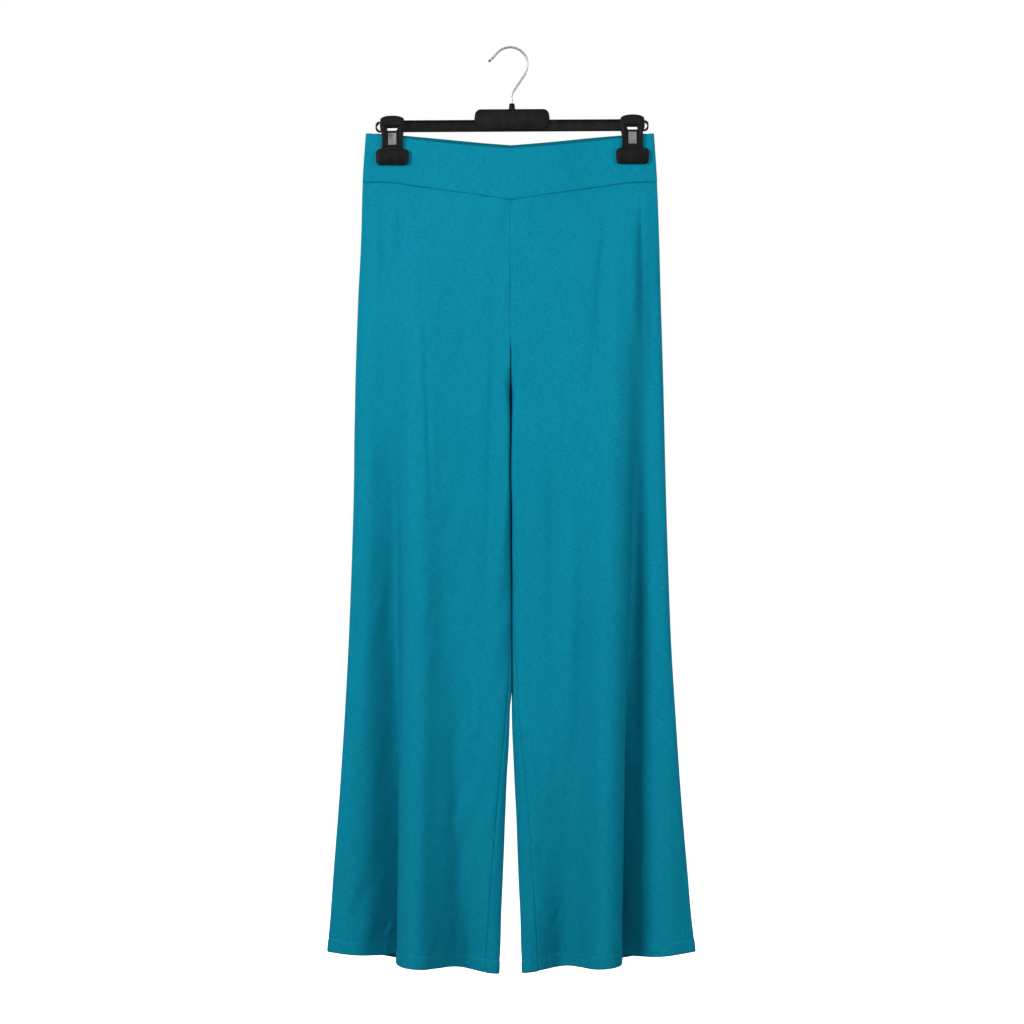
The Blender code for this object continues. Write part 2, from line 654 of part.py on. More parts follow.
def make_hanger_body(collection, cutters, parent, material):
    """The moulded body: flanged bar, centre plate, boss for the hook and two end loops."""
    bar = prism("hanger_body", [bar_section()], BAR_HALF * 2, collection)
    turn_along_x(bar, STEM_X)

    plate = prism("centre_plate", [rounded([
        (STEM_X - PLATE_TOP_HALF, PLATE_TOP), (STEM_X + PLATE_TOP_HALF, PLATE_TOP),
        (STEM_X + PLATE_WAIST_HALF, PLATE_WAIST), (STEM_X + PLATE_FOOT_HALF, PLATE_FOOT),
        (STEM_X - PLATE_FOOT_HALF, PLATE_FOOT), (STEM_X - PLATE_WAIST_HALF, PLATE_WAIST),
    ], [PLATE_CORNER, PLATE_CORNER, PLATE_WAIST_CORNER, PLATE_FOOT_CORNER, PLATE_FOOT_CORNER,
        PLATE_WAIST_CORNER])], PLATE_DEPTH, collection)
    boolean(bar, "UNION", plate, cutters)

    bpy.ops.mesh.primitive_cone_add(
        vertices=20, radius1=BOSS_FOOT_RADIUS * MM, radius2=BOSS_TOP_RADIUS * MM,
        depth=(BOSS_FOOT - BOSS_TOP) * MM,
        location=(STEM_X * MM, 0.0, -(BOSS_FOOT + BOSS_TOP) / 2 * MM))
    boss = bpy.context.object
    boss.name = "hook_boss"
    boolean(bar, "UNION", boss, cutters)

    for side, sign in SIDES.items():
        outer = STEM_X + sign * LOOP_HALF
        root = STEM_X + sign * LOOP_ROOT
        low, high = sorted((outer, root))
        hole_low, hole_high = sorted((outer - sign * LOOP_RAIL, root + sign * LOOP_SOLID))
        left, right = (LOOP_CORNER, 0) if side == "left" else (0, LOOP_CORNER)
        outside = rounded([(low, LOOP_TOP), (high, LOOP_TOP), (high, LOOP_FOOT), (low, LOOP_FOOT)],
                          [left, right, right, left])
        hole_top, hole_foot = LOOP_TOP + LOOP_RAIL, LOOP_FOOT - LOOP_RAIL
        hole = rounded([(hole_low, hole_top), (hole_high, hole_top),
                        (hole_high, hole_foot), (hole_low, hole_foot)], LOOP_CORNER - LOOP_RAIL)
        loop = prism(f"end_loop_{side}", [outside, hole], LOOP_DEPTH, collection)
        boolean(bar, "UNION", loop, cutters)

    bpy.ops.mesh.primitive_cylinder_add(
        vertices=16, radius=STEM_BORE * MM, depth=(BORE_END - BORE_TOP) * MM,
        location=(STEM_X * MM, 0.0, -(BORE_END + BORE_TOP) / 2 * MM))
    bore = bpy.context.object
    bore.name = "stem_bore"
    boolean(bar, "DIFFERENCE", bore, cutters)
    finish_piece(bar, parent, material)
    for cutter in (plate, boss, bore, *[o for o in cutters.objects if "end_loop" in o.name]):
        cutter.parent = parent


def make_jaw(side, face, collection, cutters, parent, material):
    """One jaw of a clip: domed head, arm with a window and a spring's recess, and the pad."""
    x = CLIP_ACROSS[side]
    sign = FACES[face]
    name = f"clip_{side}_{face}_jaw"
    dome = []
    for angle in np.linspace(math.pi, 0.0, DOME_STEPS + 1):
        risen = CLIP_DOME_RISE * abs(math.sin(angle)) ** CLIP_DOME_POWER
        dome.append((x + CLIP_DOME_HALF * math.cos(angle), CLIP_HEAD_TOP + CLIP_DOME_RISE - risen))
    half = [(CLIP_HEAD_HALF, CLIP_SHOULDER), (CLIP_HEAD_HALF - CLIP_HEAD_TAPER, CLIP_NECK),
            (CLIP_ARM_HALF, CLIP_HEAD_FOOT), (CLIP_ARM_HALF - CLIP_HEAD_TAPER, CLIP_ARM_FOOT),
            (CLIP_ARM_HALF + CLIP_ARM_FLARE, CLIP_ARM_END)]
    body = dome + [(x + a, drop) for a, drop in half] + [(x - a, drop) for a, drop in half[::-1]]
    window = rounded([(x - WINDOW_HALF, WINDOW_TOP), (x + WINDOW_HALF, WINDOW_TOP),
                      (x + WINDOW_HALF, WINDOW_FOOT), (x - WINDOW_HALF, WINDOW_FOOT)],
                     WINDOW_CORNER)
    jaw = prism(name, [body, window], JAW_WALL, collection)
    jaw.location.y = sign * (JAW_INNER + JAW_WALL / 2) * MM

    pad = prism(name + "_pad", [rounded([
        (x - PAD_HALF, PAD_TOP), (x + PAD_HALF, PAD_TOP),
        (x + PAD_HALF - PAD_TAPER, PAD_FOOT), (x - PAD_HALF + PAD_TAPER, PAD_FOOT)], PAD_CORNER)],
        PAD_FRONT - PAD_INNER, collection)
    pad.location.y = sign * (PAD_FRONT + PAD_INNER) / 2 * MM
    boolean(jaw, "UNION", pad, cutters)

    outer = JAW_INNER + JAW_WALL
    y_low, y_high = sorted((sign * (outer - RECESS_DEPTH), sign * (outer + 1)))
    reach = SPRING_HALF + SEAM_GAP
    recess = box(name + "_recess", (x - reach, y_low, -(SPRING_FOOT + SEAM_GAP)),
                 (x + reach, y_high, -RECESS_TOP), cutters)
    boolean(jaw, "DIFFERENCE", recess, cutters)
    finish_piece(jaw, parent, material)
    for tool in (pad, recess):
        tool.parent = parent


def make_spring(side, collection, parent, material):
    """The steel strip bent over the two jaws of a clip, as an inverted U."""
    x = CLIP_ACROSS[side]
    outer = JAW_INNER + JAW_WALL - RECESS_DEPTH + SEAM_GAP + SPRING_WALL
    inner = outer - SPRING_WALL
    arch = rounded([(-outer, SPRING_TOP), (outer, SPRING_TOP), (outer, SPRING_FOOT),
                    (inner, SPRING_FOOT), (inner, SPRING_TOP + SPRING_WALL),
                    (-inner, SPRING_TOP + SPRING_WALL), (-inner, SPRING_FOOT),
                    (-outer, SPRING_FOOT)],
                   [SPRING_BEND, SPRING_BEND, 0, 0, SPRING_BEND - SPRING_WALL,
                    SPRING_BEND - SPRING_WALL, 0, 0])
    spring = prism(f"clip_{side}_spring", [arch], SPRING_HALF * 2, collection)
    turn_along_x(spring, x)
    finish_piece(spring, parent, material)


def make_hanger(collection, cutters):
    """The whole hanger, tilted a little as it hangs."""
    tilt = bpy.data.objects.new("hanger_tilt", None)
    collection.objects.link(tilt)
    tilt.rotation_euler.y = -TILT
    plastic = make_material("black_plastic")
    steel = make_material("spring_steel")
    make_hook(collection, tilt, make_material("chrome_wire"))
    make_hanger_body(collection, cutters, tilt, plastic)
    for side in SIDES:
        for face in FACES:
            make_jaw(side, face, collection, cutters, tilt, plastic)
        make_spring(side, collection, tilt, steel)


def make_trousers(collection):
    """The four leg pieces and the two halves of the waistband."""
    knit = make_material("teal_knit")
    for leg in SIDES:
        for face in FACES:
            leg_panel(leg, face, LEG_GRID, collection, knit)
    for face in FACES:
        waistband(face, collection, knit)


def main():
    """Build the whole object in an empty scene."""
    clear_scene()
    collection = make_collection("trousers_on_clip_hanger")
    cutters = make_collection("cutters")
    make_trousers(collection)
    make_hanger(collection, cutters)


main()
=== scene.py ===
"""Knitted wide-leg trousers on a clip hanger, dressed for a studio picture.

The trousers are built as a maker sews them: a folded waistband in two halves and four leg
pieces, with rolled seams, turned-up hems and small stitches. Their folds are worked out from
short tables, and their creases are listed one by one. The hanger has its beam, centre plate, boss,
wire hook and two sprung clips.

The origin is the inside of the hook's top. X runs to the right seen from the front, Y away from
the front and Z up. Sizes are in millimetres until a mesh is made, and MM turns them into metres.
A "drop" is a distance below the origin, and "across" is a distance outwards from the middle of
the trousers.
"""

import logging
import math
from dataclasses import dataclass, field
from enum import Enum
from typing import Iterable, Sequence

import bmesh
import bpy
import numpy as np
from mathutils import Matrix, Vector


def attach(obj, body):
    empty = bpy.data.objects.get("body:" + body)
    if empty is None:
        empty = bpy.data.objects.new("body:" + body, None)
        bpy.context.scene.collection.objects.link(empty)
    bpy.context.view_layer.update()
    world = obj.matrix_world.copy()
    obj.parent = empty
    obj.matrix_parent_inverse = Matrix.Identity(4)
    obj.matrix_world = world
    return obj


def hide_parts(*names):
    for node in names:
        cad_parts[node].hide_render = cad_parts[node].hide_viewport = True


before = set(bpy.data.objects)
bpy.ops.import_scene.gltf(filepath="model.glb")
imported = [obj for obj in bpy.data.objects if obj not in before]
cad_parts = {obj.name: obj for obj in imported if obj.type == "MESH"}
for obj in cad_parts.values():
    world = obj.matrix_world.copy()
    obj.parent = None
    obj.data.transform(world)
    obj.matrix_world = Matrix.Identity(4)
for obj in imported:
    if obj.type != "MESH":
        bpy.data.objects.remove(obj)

LOG = logging.getLogger("trousers")
MM = 0.001
BODY = "root"
NO_END = 2000.0
SHARP = math.radians(50)


# ---- Named options --------------------------------------------------------------------------

class Side(Enum):
    """One of two sides. The value is its sign along an axis."""

    @property
    def word(self) -> str:
        """The side's name in small letters."""
        return self.name.lower()


class Leg(Side):
    """A leg, seen from the front. The value is its side of the middle along X."""

    LEFT = -1.0
    RIGHT = 1.0


class Face(Side):
    """The front or the back of the trousers. The value is its side along Y."""

    FRONT = -1.0
    BACK = 1.0


class Slot(Enum):
    """The record's material slots."""

    KNIT = "teal_knit"
    PLASTIC = "black_plastic"
    CHROME = "chrome_wire"
    SPRING = "spring_steel"


# ---- Rows of the tables ---------------------------------------------------------------------

@dataclass(frozen=True)
class Section:
    """Where the cloth runs at one height, as in the solid model."""

    drop: float
    left: float
    right: float
    gap: float
    seam_y: float
    front: float
    front_in: float
    back: float
    back_in: float
    side_round: float
    inner_round: float


@dataclass(frozen=True)
class Fold:
    """A hanging fold. A lobe above 0 makes it a big one that laps over its own valley."""

    across_top: float
    across_hem: float
    start: float
    full: float
    end: float
    depth: float
    width: float
    lobe: float
    lap: float
    growth: float

    def centre(self, fall: np.ndarray | float) -> np.ndarray | float:
        """Distance from the middle, at a share of the way from the fold's start to the hem."""
        return self.across_top + (self.across_hem - self.across_top) * fall


@dataclass(frozen=True)
class BandTop:
    """The V of a waistband's top edge. The edge is level beyond flat, and bend rounds the V."""

    dip: float
    flat: float
    bend: float


@dataclass(frozen=True)
class Inseam:
    """Distance of the inseams round the front of the legs' inner edges."""

    drop: float
    left: float
    right: float


@dataclass(frozen=True)
class Crease:
    """A crease given one by one. Height above 0 is a ridge and below 0 a trough.

    lean is in degrees, and above 0 the crease runs outwards as it goes down.
    """

    across: float
    drop: float
    length: float
    lean: float
    width: float
    height: float


Panel = tuple[Leg, Face]

SECTIONS = (
    Section(100, 180.3, 178.3, 1.0, 0, 7, 8.5, 8, 10, 30, 0),
    Section(170, 185.0, 182.9, 1.0, 0, 11, 13, 12, 14, 34, 0),
    Section(240, 186.7, 185.3, 1.0, 0, 15, 18, 18, 21, 38, 0),
    Section(315, 190.4, 187.3, 1.0, 0, 17, 20, 22, 26, 40, 0),
    Section(377, 192.6, 189.2, 1.0, 0, 18, 20, 25, 28, 40, 0),
    Section(418, 193.8, 190.4, 1.0, 0, 18, 19, 26, 28, 40, 5),
    Section(446, 194.3, 191.1, 0.9, 0, 18, 19, 27, 28, 40, 4),
    Section(490, 195.1, 192.1, 0.8, 0, 18, 18, 28, 28, 42, 3),
    Section(540, 195.6, 193.3, 0.8, 0, 17, 17, 28, 28, 44, 3),
    Section(640, 198.3, 196.3, 0.9, 1, 16, 15, 31, 28, 48, 13),
    Section(740, 202.3, 200.2, 1.0, 2, 14, 13, 35, 29, 54, 20),
    Section(840, 207.7, 206.3, 1.8, 3, 13, 12, 39, 30, 60, 18),
    Section(940, 214.3, 213.2, 6.4, 4, 12, 11, 43, 31, 66, 21),
    Section(1040, 222.1, 221.8, 10.4, 5, 11, 10, 48, 32, 70, 24),
    Section(1090, 225.7, 226.2, 12.5, 5, 10, 9, 50, 32, 72, 25),
    Section(1130, 229.3, 231.1, 13.8, 5, 10, 8, 52, 32, 74, 26),
    Section(1170, 232.6, 235.4, 15.2, 5, 10, 8, 53, 32, 75, 26),
)

INSEAMS = (
    Inseam(446, -8, -8), Inseam(640, 0, 2), Inseam(788, 7, 11), Inseam(940, 14, 19),
    Inseam(1170, 20, 23),
)

BAND_TOPS = {Face.FRONT: BandTop(19.6, 175.0, 1.3), Face.BACK: BandTop(13.0, 165.0, 1.05)}

FOLDS: dict[Panel, tuple[Fold, ...]] = {
    (Leg.LEFT, Face.FRONT): (
        Fold(132.0, 141.0, 190, 1130, NO_END, 39, 20, 27, 27, 1.0),
        Fold(88.0, 70.0, 600, 1130, NO_END, 25, 20, 0, 0, 3.2),
        Fold(107.0, 72.0, 230, 620, 900, 4.0, 12, 0, 0, 1.0),
        Fold(20.0, 42.0, 240, 300, 660, 1.6, 7, 0, 0, 1.0),
    ),
    (Leg.RIGHT, Face.FRONT): (
        Fold(155.0, 137.2, 190, 1130, NO_END, 39, 18, 26, 28, 1.0),
        Fold(86.0, 69.0, 600, 1130, NO_END, 26, 21, 0, 0, 3.2),
        Fold(120.3, 71.5, 180, 420, 860, 4.0, 9, 0, 0, 1.0),
        Fold(52.8, 55.0, 470, 560, 780, 2.0, 8, 0, 0, 1.0),
        Fold(190.0, 192.0, 760, 1130, NO_END, -4, 14, 0, 0, 1.0),
    ),
    (Leg.LEFT, Face.BACK): (
        Fold(100.0, 94.0, 250, 1130, NO_END, 26, 24, 26, 24, 1.4),
        Fold(156.0, 166.0, 480, 1130, NO_END, 6, 16, 0, 0, 1.2),
        Fold(42.0, 40.0, 330, 1130, NO_END, 8, 15, 0, 0, 1.2),
    ),
    (Leg.RIGHT, Face.BACK): (
        Fold(90.0, 93.0, 250, 1130, NO_END, 25, 24, 24, 22, 1.4),
        Fold(40.0, 34.0, 400, 1130, NO_END, 6, 15, 0, 0, 1.2),
        Fold(160.0, 172.0, 520, 1130, NO_END, 6, 16, 0, 0, 1.2),
    ),
}

CREASES: dict[Panel, tuple[Crease, ...]] = {
    (Leg.LEFT, Face.FRONT): (
        # Draglines where the cloth hangs from the clips, and others down the leg.
        Crease(161, 246, 150, -1, 3.8, -2.6),
        Crease(138, 230, 110, -1, 3.4, -2.2),
        Crease(149, 250, 130, 0, 5.0, 1.2),
        Crease(103, 440, 400, -1.8, 4.5, -1.7),
        Crease(25, 500, 560, 1.5, 3.6, -1.7),
        # Beside the big fold, to make its valley narrow, and over the fork.
        Crease(180, 640, 620, 1.1, 9.0, 2.6),
        Crease(82, 1000, 640, 0, 13.0, 5.0),
        Crease(4, 424, 80, 0, 3.6, -1.6),
        # Soft breaks low on the leg.
        Crease(192, 1071, 78, 20, 5.0, -2.2),
        Crease(180, 1100, 54, 15, 6.0, 1.8),
        Crease(157, 1102, 20, 33, 2.0, -1.5),
        Crease(152, 1104, 24, 33, 2.4, 1.0),
        Crease(41, 823, 110, -3, 4.0, 0.9),
        Crease(52, 858, 52, 40, 3.0, 0.9),
        Crease(44, 866, 40, 42, 2.6, -0.8),
        Crease(48, 1093, 36, 42, 3.0, -1.2),
        Crease(62, 960, 90, 6, 6.0, 0.9),
    ),
    (Leg.RIGHT, Face.FRONT): (
        # Draglines where the cloth hangs from the clips, and others down the leg.
        Crease(163, 274, 216, 0, 3.6, -3.0),
        Crease(152, 280, 170, 0, 5.0, 1.2),
        Crease(107.8, 327, 310, -4.8, 3.8, -2.6),
        Crease(87, 700, 520, -1, 6.5, -3.2),
        Crease(53, 615, 250, 0, 5.0, -1.8),
        # Beside the big fold, to make its valley narrow, and over the fork.
        Crease(178, 650, 580, 1.0, 9.0, 4.0),
        Crease(156, 640, 620, 0.2, 6.0, -1.4),
        Crease(6, 420, 90, 0, 5.0, -2.2),
        # Soft breaks low on the leg.
        Crease(215, 1032, 36, 17, 3.0, -1.3),
        Crease(205, 1060, 70, 12, 5.0, 1.2),
        Crease(45, 935, 38, 42, 3.0, 1.0),
        Crease(29, 908, 186, 5.5, 5.0, 0.9),
        Crease(47, 908, 186, -5.7, 5.0, 0.9),
        Crease(38, 1010, 60, 0, 5.0, -0.9),
        Crease(58, 1088, 40, -35, 3.2, -1.0),
    ),
    (Leg.LEFT, Face.BACK): (
        # Draglines where the cloth hangs from the clips, and others down the leg.
        Crease(158, 260, 150, -1, 4.0, -2.0),
        Crease(136, 250, 120, -2, 5.0, -1.6),
        Crease(60, 420, 260, 3, 5.0, -1.8),
        # Beside the big fold, to make its valley narrow, and over the fork.
        Crease(176, 640, 460, 2, 10.0, 2.6),
        # The seat, the calf and the hem.
        Crease(30, 470, 60, 55, 6.0, -1.6),
        Crease(46, 500, 70, 50, 6.0, 1.2),
        Crease(182, 930, 110, 9, 6.0, -1.6),
        Crease(72, 905, 90, -12, 6.0, 1.4),
        Crease(55, 1090, 44, -38, 3.2, -1.2),
    ),
    (Leg.RIGHT, Face.BACK): (
        # Draglines where the cloth hangs from the clips, and others down the leg.
        Crease(160, 262, 170, -1, 4.0, -2.2),
        Crease(132, 240, 110, -3, 4.5, -1.7),
        Crease(74, 460, 300, -3, 5.5, -2.0),
        # Beside the big fold, to make its valley narrow, and over the fork.
        Crease(182, 700, 420, 2, 10.0, 2.4),
        # The seat, the calf and the hem.
        Crease(28, 466, 56, 58, 5.5, -1.5),
        Crease(48, 506, 66, 47, 6.0, 1.1),
        Crease(188, 980, 90, 12, 6.0, -1.5),
        Crease(110, 860, 120, -8, 7.0, 1.4),
        Crease(150, 1096, 40, 36, 3.2, -1.2),
    ),
}


# ---- Small helpers --------------------------------------------------------------------------

def ease(value: np.ndarray | float) -> np.ndarray:
    """Ease from 0 to 1."""
    value = np.clip(value, 0.0, 1.0)
    return value * value * (3.0 - 2.0 * value)


def arc_lengths(points: np.ndarray) -> np.ndarray:
    """Distance along a polyline at each of its points."""
    steps = np.linalg.norm(np.diff(points, axis=0), axis=1)
    return np.concatenate([[0.0], np.cumsum(steps)])


class Rows:
    """A short table whose columns are read on a smooth curve through its rows."""

    def __init__(self, rows: Sequence[Section | Inseam]) -> None:
        """Keep the rows and the drops that they stand at."""
        self.rows = rows
        self.drops = np.array([row.drop for row in rows], dtype=float)

    def at(self, column: str, drop: np.ndarray | float) -> np.ndarray:
        """Read a column, by its name, at one drop or many.

        Args:
            column: The column's name.
            drop: One drop or many.

        Returns:
            The column's value at each drop.
        """
        values = np.array([getattr(row, column) for row in self.rows], dtype=float)
        slopes = np.gradient(values, self.drops)
        drop = np.clip(drop, self.drops[0], self.drops[-1])
        i = np.clip(np.searchsorted(self.drops, drop) - 1, 0, len(self.drops) - 2)
        span = self.drops[i + 1] - self.drops[i]
        t = (drop - self.drops[i]) / span
        return ((2 * t**3 - 3 * t**2 + 1) * values[i] + (t**3 - 2 * t**2 + t) * span * slopes[i]
                + (3 * t**2 - 2 * t**3) * values[i + 1] + (t**3 - t**2) * span * slopes[i + 1])


# ---- Finishes -------------------------------------------------------------------------------

Value = bpy.types.NodeSocket | float
Colour = tuple[float, float, float, float]


class Wiring:
    """Adds nodes to a shader tree and joins them."""

    def __init__(self, tree: bpy.types.NodeTree) -> None:
        """Keep the tree that the nodes go into."""
        self.tree = tree

    def node(self, kind: str, **settings: object) -> bpy.types.Node:
        """Add a node of a type and set its properties.

        Args:
            kind: The node's type name.
            **settings: Properties to set on it.

        Returns:
            The new node.
        """
        node = self.tree.nodes.new(kind)
        for name, value in settings.items():
            setattr(node, name, value)
        return node

    def feed(self, target: bpy.types.NodeSocket, value: Value | Sequence[float]) -> None:
        """Wire a socket into another, or set the other to a constant."""
        if isinstance(value, bpy.types.NodeSocket):
            self.tree.links.new(value, target)
        else:
            target.default_value = value

    def fill(self, node: bpy.types.Node, **values: Value | Sequence[float]) -> bpy.types.Node:
        """Feed a node's inputs by name, with _ for a space."""
        for name, value in values.items():
            self.feed(node.inputs[name.replace("_", " ")], value)
        return node

    def place(self) -> bpy.types.NodeSocket:
        """Each point's place in its object."""
        return self.node("ShaderNodeTexCoord").outputs["Object"]

    def math(self, operation: str, *values: Value) -> bpy.types.NodeSocket:
        """A Math node with its inputs fed in order."""
        node = self.node("ShaderNodeMath", operation=operation)
        for target, value in zip(node.inputs, values):
            self.feed(target, value)
        return node.outputs[0]

    def scaled(self, vector: bpy.types.NodeSocket, *scale: float) -> bpy.types.NodeSocket:
        """A vector multiplied by a constant one."""
        node = self.node("ShaderNodeVectorMath", operation="MULTIPLY")
        self.feed(node.inputs[0], vector)
        self.feed(node.inputs[1], scale)
        return node.outputs[0]

    def noise(self, vector: bpy.types.NodeSocket, scale: Value,
              detail: float) -> bpy.types.NodeSocket:
        """A Noise Texture's value."""
        node = self.node("ShaderNodeTexNoise")
        return self.fill(node, Vector=vector, Scale=scale, Detail=detail).outputs["Fac"]

    def band(self, value: Value, low: float, high: float,
             to_low: float = 0.0, to_high: float = 1.0) -> bpy.types.NodeSocket:
        """A value remapped from one range to another, clamped.

        Args:
            value: The value to remap.
            low: Where its range starts.
            high: Where its range ends.
            to_low: What the start turns into.
            to_high: What the end turns into.

        Returns:
            The remapped value.
        """
        node = self.node("ShaderNodeMapRange")
        for target, number in zip(node.inputs, (value, low, high, to_low, to_high)):
            self.feed(target, number)
        return node.outputs[0]

    def blend(self, share: Value, first: Value | Colour, second: Value | Colour,
              how: str = "MIX") -> bpy.types.NodeSocket:
        """A colour between two others."""
        node = self.node("ShaderNodeMix", data_type="RGBA", blend_type=how)
        return self.fill(node, Factor=share, A=first, B=second).outputs["Result"]

    def bump(self, shader: bpy.types.Node, height: bpy.types.NodeSocket, strength: float,
             distance: float) -> None:
        """Let a height raise a shader's surface."""
        node = self.fill(self.node("ShaderNodeBump"), Strength=strength, Distance=distance,
                         Height=height)
        self.fill(shader, Normal=node.outputs["Normal"])


class EffectGroup:
    """A shader node group with named inputs and outputs, built once and used in many finishes."""

    def __init__(self, name: str, inputs: dict[str, tuple[str, float | None]],
                 outputs: Sequence[str]) -> None:
        """Make the group and its sockets.

        Args:
            name: The group's name.
            inputs: Each input's socket type and default value.
            outputs: The names of the outputs, which are all values.
        """
        self.tree = bpy.data.node_groups.new(name, "ShaderNodeTree")
        for socket, (kind, default) in inputs.items():
            made = self.tree.interface.new_socket(socket, in_out="INPUT", socket_type=kind)
            if default is not None:
                made.default_value = default
        for socket in outputs:
            self.tree.interface.new_socket(socket, in_out="OUTPUT", socket_type="NodeSocketFloat")
        self.wiring = Wiring(self.tree)
        self.source = self.wiring.node("NodeGroupInput").outputs
        self.result = self.wiring.node("NodeGroupOutput")

    def place(self, wiring: Wiring, **values: Value) -> bpy.types.bpy_prop_collection:
        """Put the group into a material, feed its inputs by name and return its outputs."""
        return wiring.fill(wiring.node("ShaderNodeGroup", node_tree=self.tree), **values).outputs


def make_knit_group() -> EffectGroup:
    """Columns of knitted loops over the cloth, from its own flat coordinates in metres."""
    group = EffectGroup(
        "knit_loops",
        {"Flat": ("NodeSocketVector", None), "Wale": ("NodeSocketFloat", 0.001),
         "Course": ("NodeSocketFloat", 0.0008)}, ["Height"])
    w = group.wiring
    parts = w.node("ShaderNodeSeparateXYZ")
    w.feed(parts.inputs[0], group.source["Flat"])
    wale = w.math("DIVIDE", parts.outputs["X"], group.source["Wale"])
    course = w.math("DIVIDE", parts.outputs["Y"], group.source["Course"])
    beside = w.math("MULTIPLY", w.math("PINGPONG", wale, 0.5), 2.0)
    slanted = w.math("ADD", course, w.math("MULTIPLY", beside, 0.85))
    wave = w.math("COSINE", w.math("MULTIPLY", slanted, math.tau))
    loop = w.math("MULTIPLY_ADD", wave, 0.25, 0.25)
    rib = w.math("MULTIPLY", w.math("SUBTRACT", 1.0, w.math("POWER", beside, 2.0)), 0.5)
    w.fill(group.result, Height=w.math("ADD", rib, loop))
    return group


def make_heather_group() -> EffectGroup:
    """Uneven yarn: short streaks along the courses, and soft clouds over the whole cloth."""
    group = EffectGroup("heathered_yarn", {"Flat": ("NodeSocketVector", None)},
                        ["Streaks", "Clouds"])
    w, flat = group.wiring, group.source["Flat"]
    along = w.noise(w.scaled(flat, 0.16, 0.85, 1.0), 900.0, 2.0)
    upright = w.noise(w.scaled(flat, 0.7, 0.11, 1.0), 760.0, 1.0)
    mixed = w.math("MULTIPLY_ADD", along, 0.68, w.math("MULTIPLY", upright, 0.32))
    clouds = w.noise(w.scaled(flat, 1.0, 0.45, 1.0), 26.0, 3.0)
    w.fill(group.result, Streaks=w.band(mixed, 0.36, 0.64), Clouds=clouds)
    return group


def make_moulded_group() -> EffectGroup:
    """The faint spark-eroded texture of a moulded or rolled surface, and its handling marks."""
    group = EffectGroup(
        "moulded_surface",
        {"Place": ("NodeSocketVector", None), "Grain": ("NodeSocketFloat", 2600.0)},
        ["Height", "Marks"])
    w, place = group.wiring, group.source["Place"]
    rubbed = w.noise(w.scaled(place, 1.0, 1.0, 0.3), 160.0, 4.0)
    w.fill(group.result, Height=w.noise(place, group.source["Grain"], 2.0),
           Marks=w.band(rubbed, 0.45, 0.72))
    return group


@dataclass(frozen=True)
class Effects:
    """The node groups that the finishes share."""

    knit: EffectGroup
    heather: EffectGroup
    moulded: EffectGroup


def new_finish(name: str) -> tuple[bpy.types.Material, Wiring, bpy.types.Node]:
    """A new material, its wiring and its shader.

    Args:
        name: The material's name.

    Returns:
        The material, its wiring and its shader.
    """
    material = bpy.data.materials.new(name)
    material.use_nodes = True
    return material, Wiring(material.node_tree), material.node_tree.nodes["Principled BSDF"]


@dataclass(frozen=True)
class KnitFinish:
    """Fine double knit in a blue-green yarn, matt with a soft bloom, with painted shade in the
    grooves between its loops.
    """

    name: str = "teal_knit_cloth"
    deep: Colour = (0.0018, 0.172, 0.262, 1.0)
    main: Colour = (0.0026, 0.214, 0.318, 1.0)
    light: Colour = (0.0036, 0.252, 0.368, 1.0)
    bloom: Colour = (0.1, 0.75, 0.9, 1.0)
    wale: float = 0.00095
    course: float = 0.0007
    roughness: float = 0.88
    relief: float = 0.00022
    main_share: float = 0.62
    streak_share: float = 0.7
    groove_shade_share: float = 0.6

    def make(self, effects: Effects) -> bpy.types.Material:
        """Build the material.

        Args:
            effects: The node groups that the finishes share.

        Returns:
            The material.
        """
        material, w, shader = new_finish(self.name)
        flat = w.node("ShaderNodeUVMap", uv_map="flat").outputs["UV"]
        height = effects.knit.place(w, Flat=flat, Wale=self.wale, Course=self.course)["Height"]
        yarn = effects.heather.place(w, Flat=flat)
        streaks = yarn["Streaks"]
        ground = w.blend(w.band(yarn["Clouds"], 0.3, 0.7), self.deep, self.light)
        toned = w.blend(self.main_share, ground, self.main)
        colour = w.blend(self.streak_share, toned, w.blend(streaks, self.deep, self.light))
        # Painted shade: the colour is darkened in the low grooves between the knit's loops, with a
        # faint painted highlight on the loops' tops.
        painted_groove_shade = w.band(height, 0.05, 0.75, 0.8, 1.06)
        w.fill(shader, Base_Color=w.blend(self.groove_shade_share, colour, painted_groove_shade, "MULTIPLY"),
               Roughness=w.band(streaks, 0.0, 1.0, self.roughness - 0.06, self.roughness + 0.08),
               Specular_IOR_Level=0.03, Sheen_Weight=0.025, Sheen_Roughness=0.5,
               Sheen_Tint=self.bloom)
        w.bump(shader, w.math("MULTIPLY_ADD", streaks, 0.6, height), 0.55, self.relief)
        return material


@dataclass(frozen=True)
class ThreadFinish:
    """Spun sewing thread, dyed to the cloth and a little glossier."""

    name: str = "sewing_thread"
    colour: Colour = (0.0022, 0.175, 0.265, 1.0)
    light: Colour = (0.0033, 0.2625, 0.3975, 1.0)
    roughness: float = 0.6

    def make(self, effects: Effects) -> bpy.types.Material:
        """Build the material.

        Args:
            effects: The node groups that the finishes share.

        Returns:
            The material.
        """
        material, w, shader = new_finish(self.name)
        plies = effects.moulded.place(w, Place=w.place(), Grain=3400.0)
        w.fill(shader, Base_Color=w.blend(plies["Height"], self.colour, self.light),
               Roughness=w.band(plies["Marks"], 0.0, 1.0, self.roughness, self.roughness + 0.15))
        return material


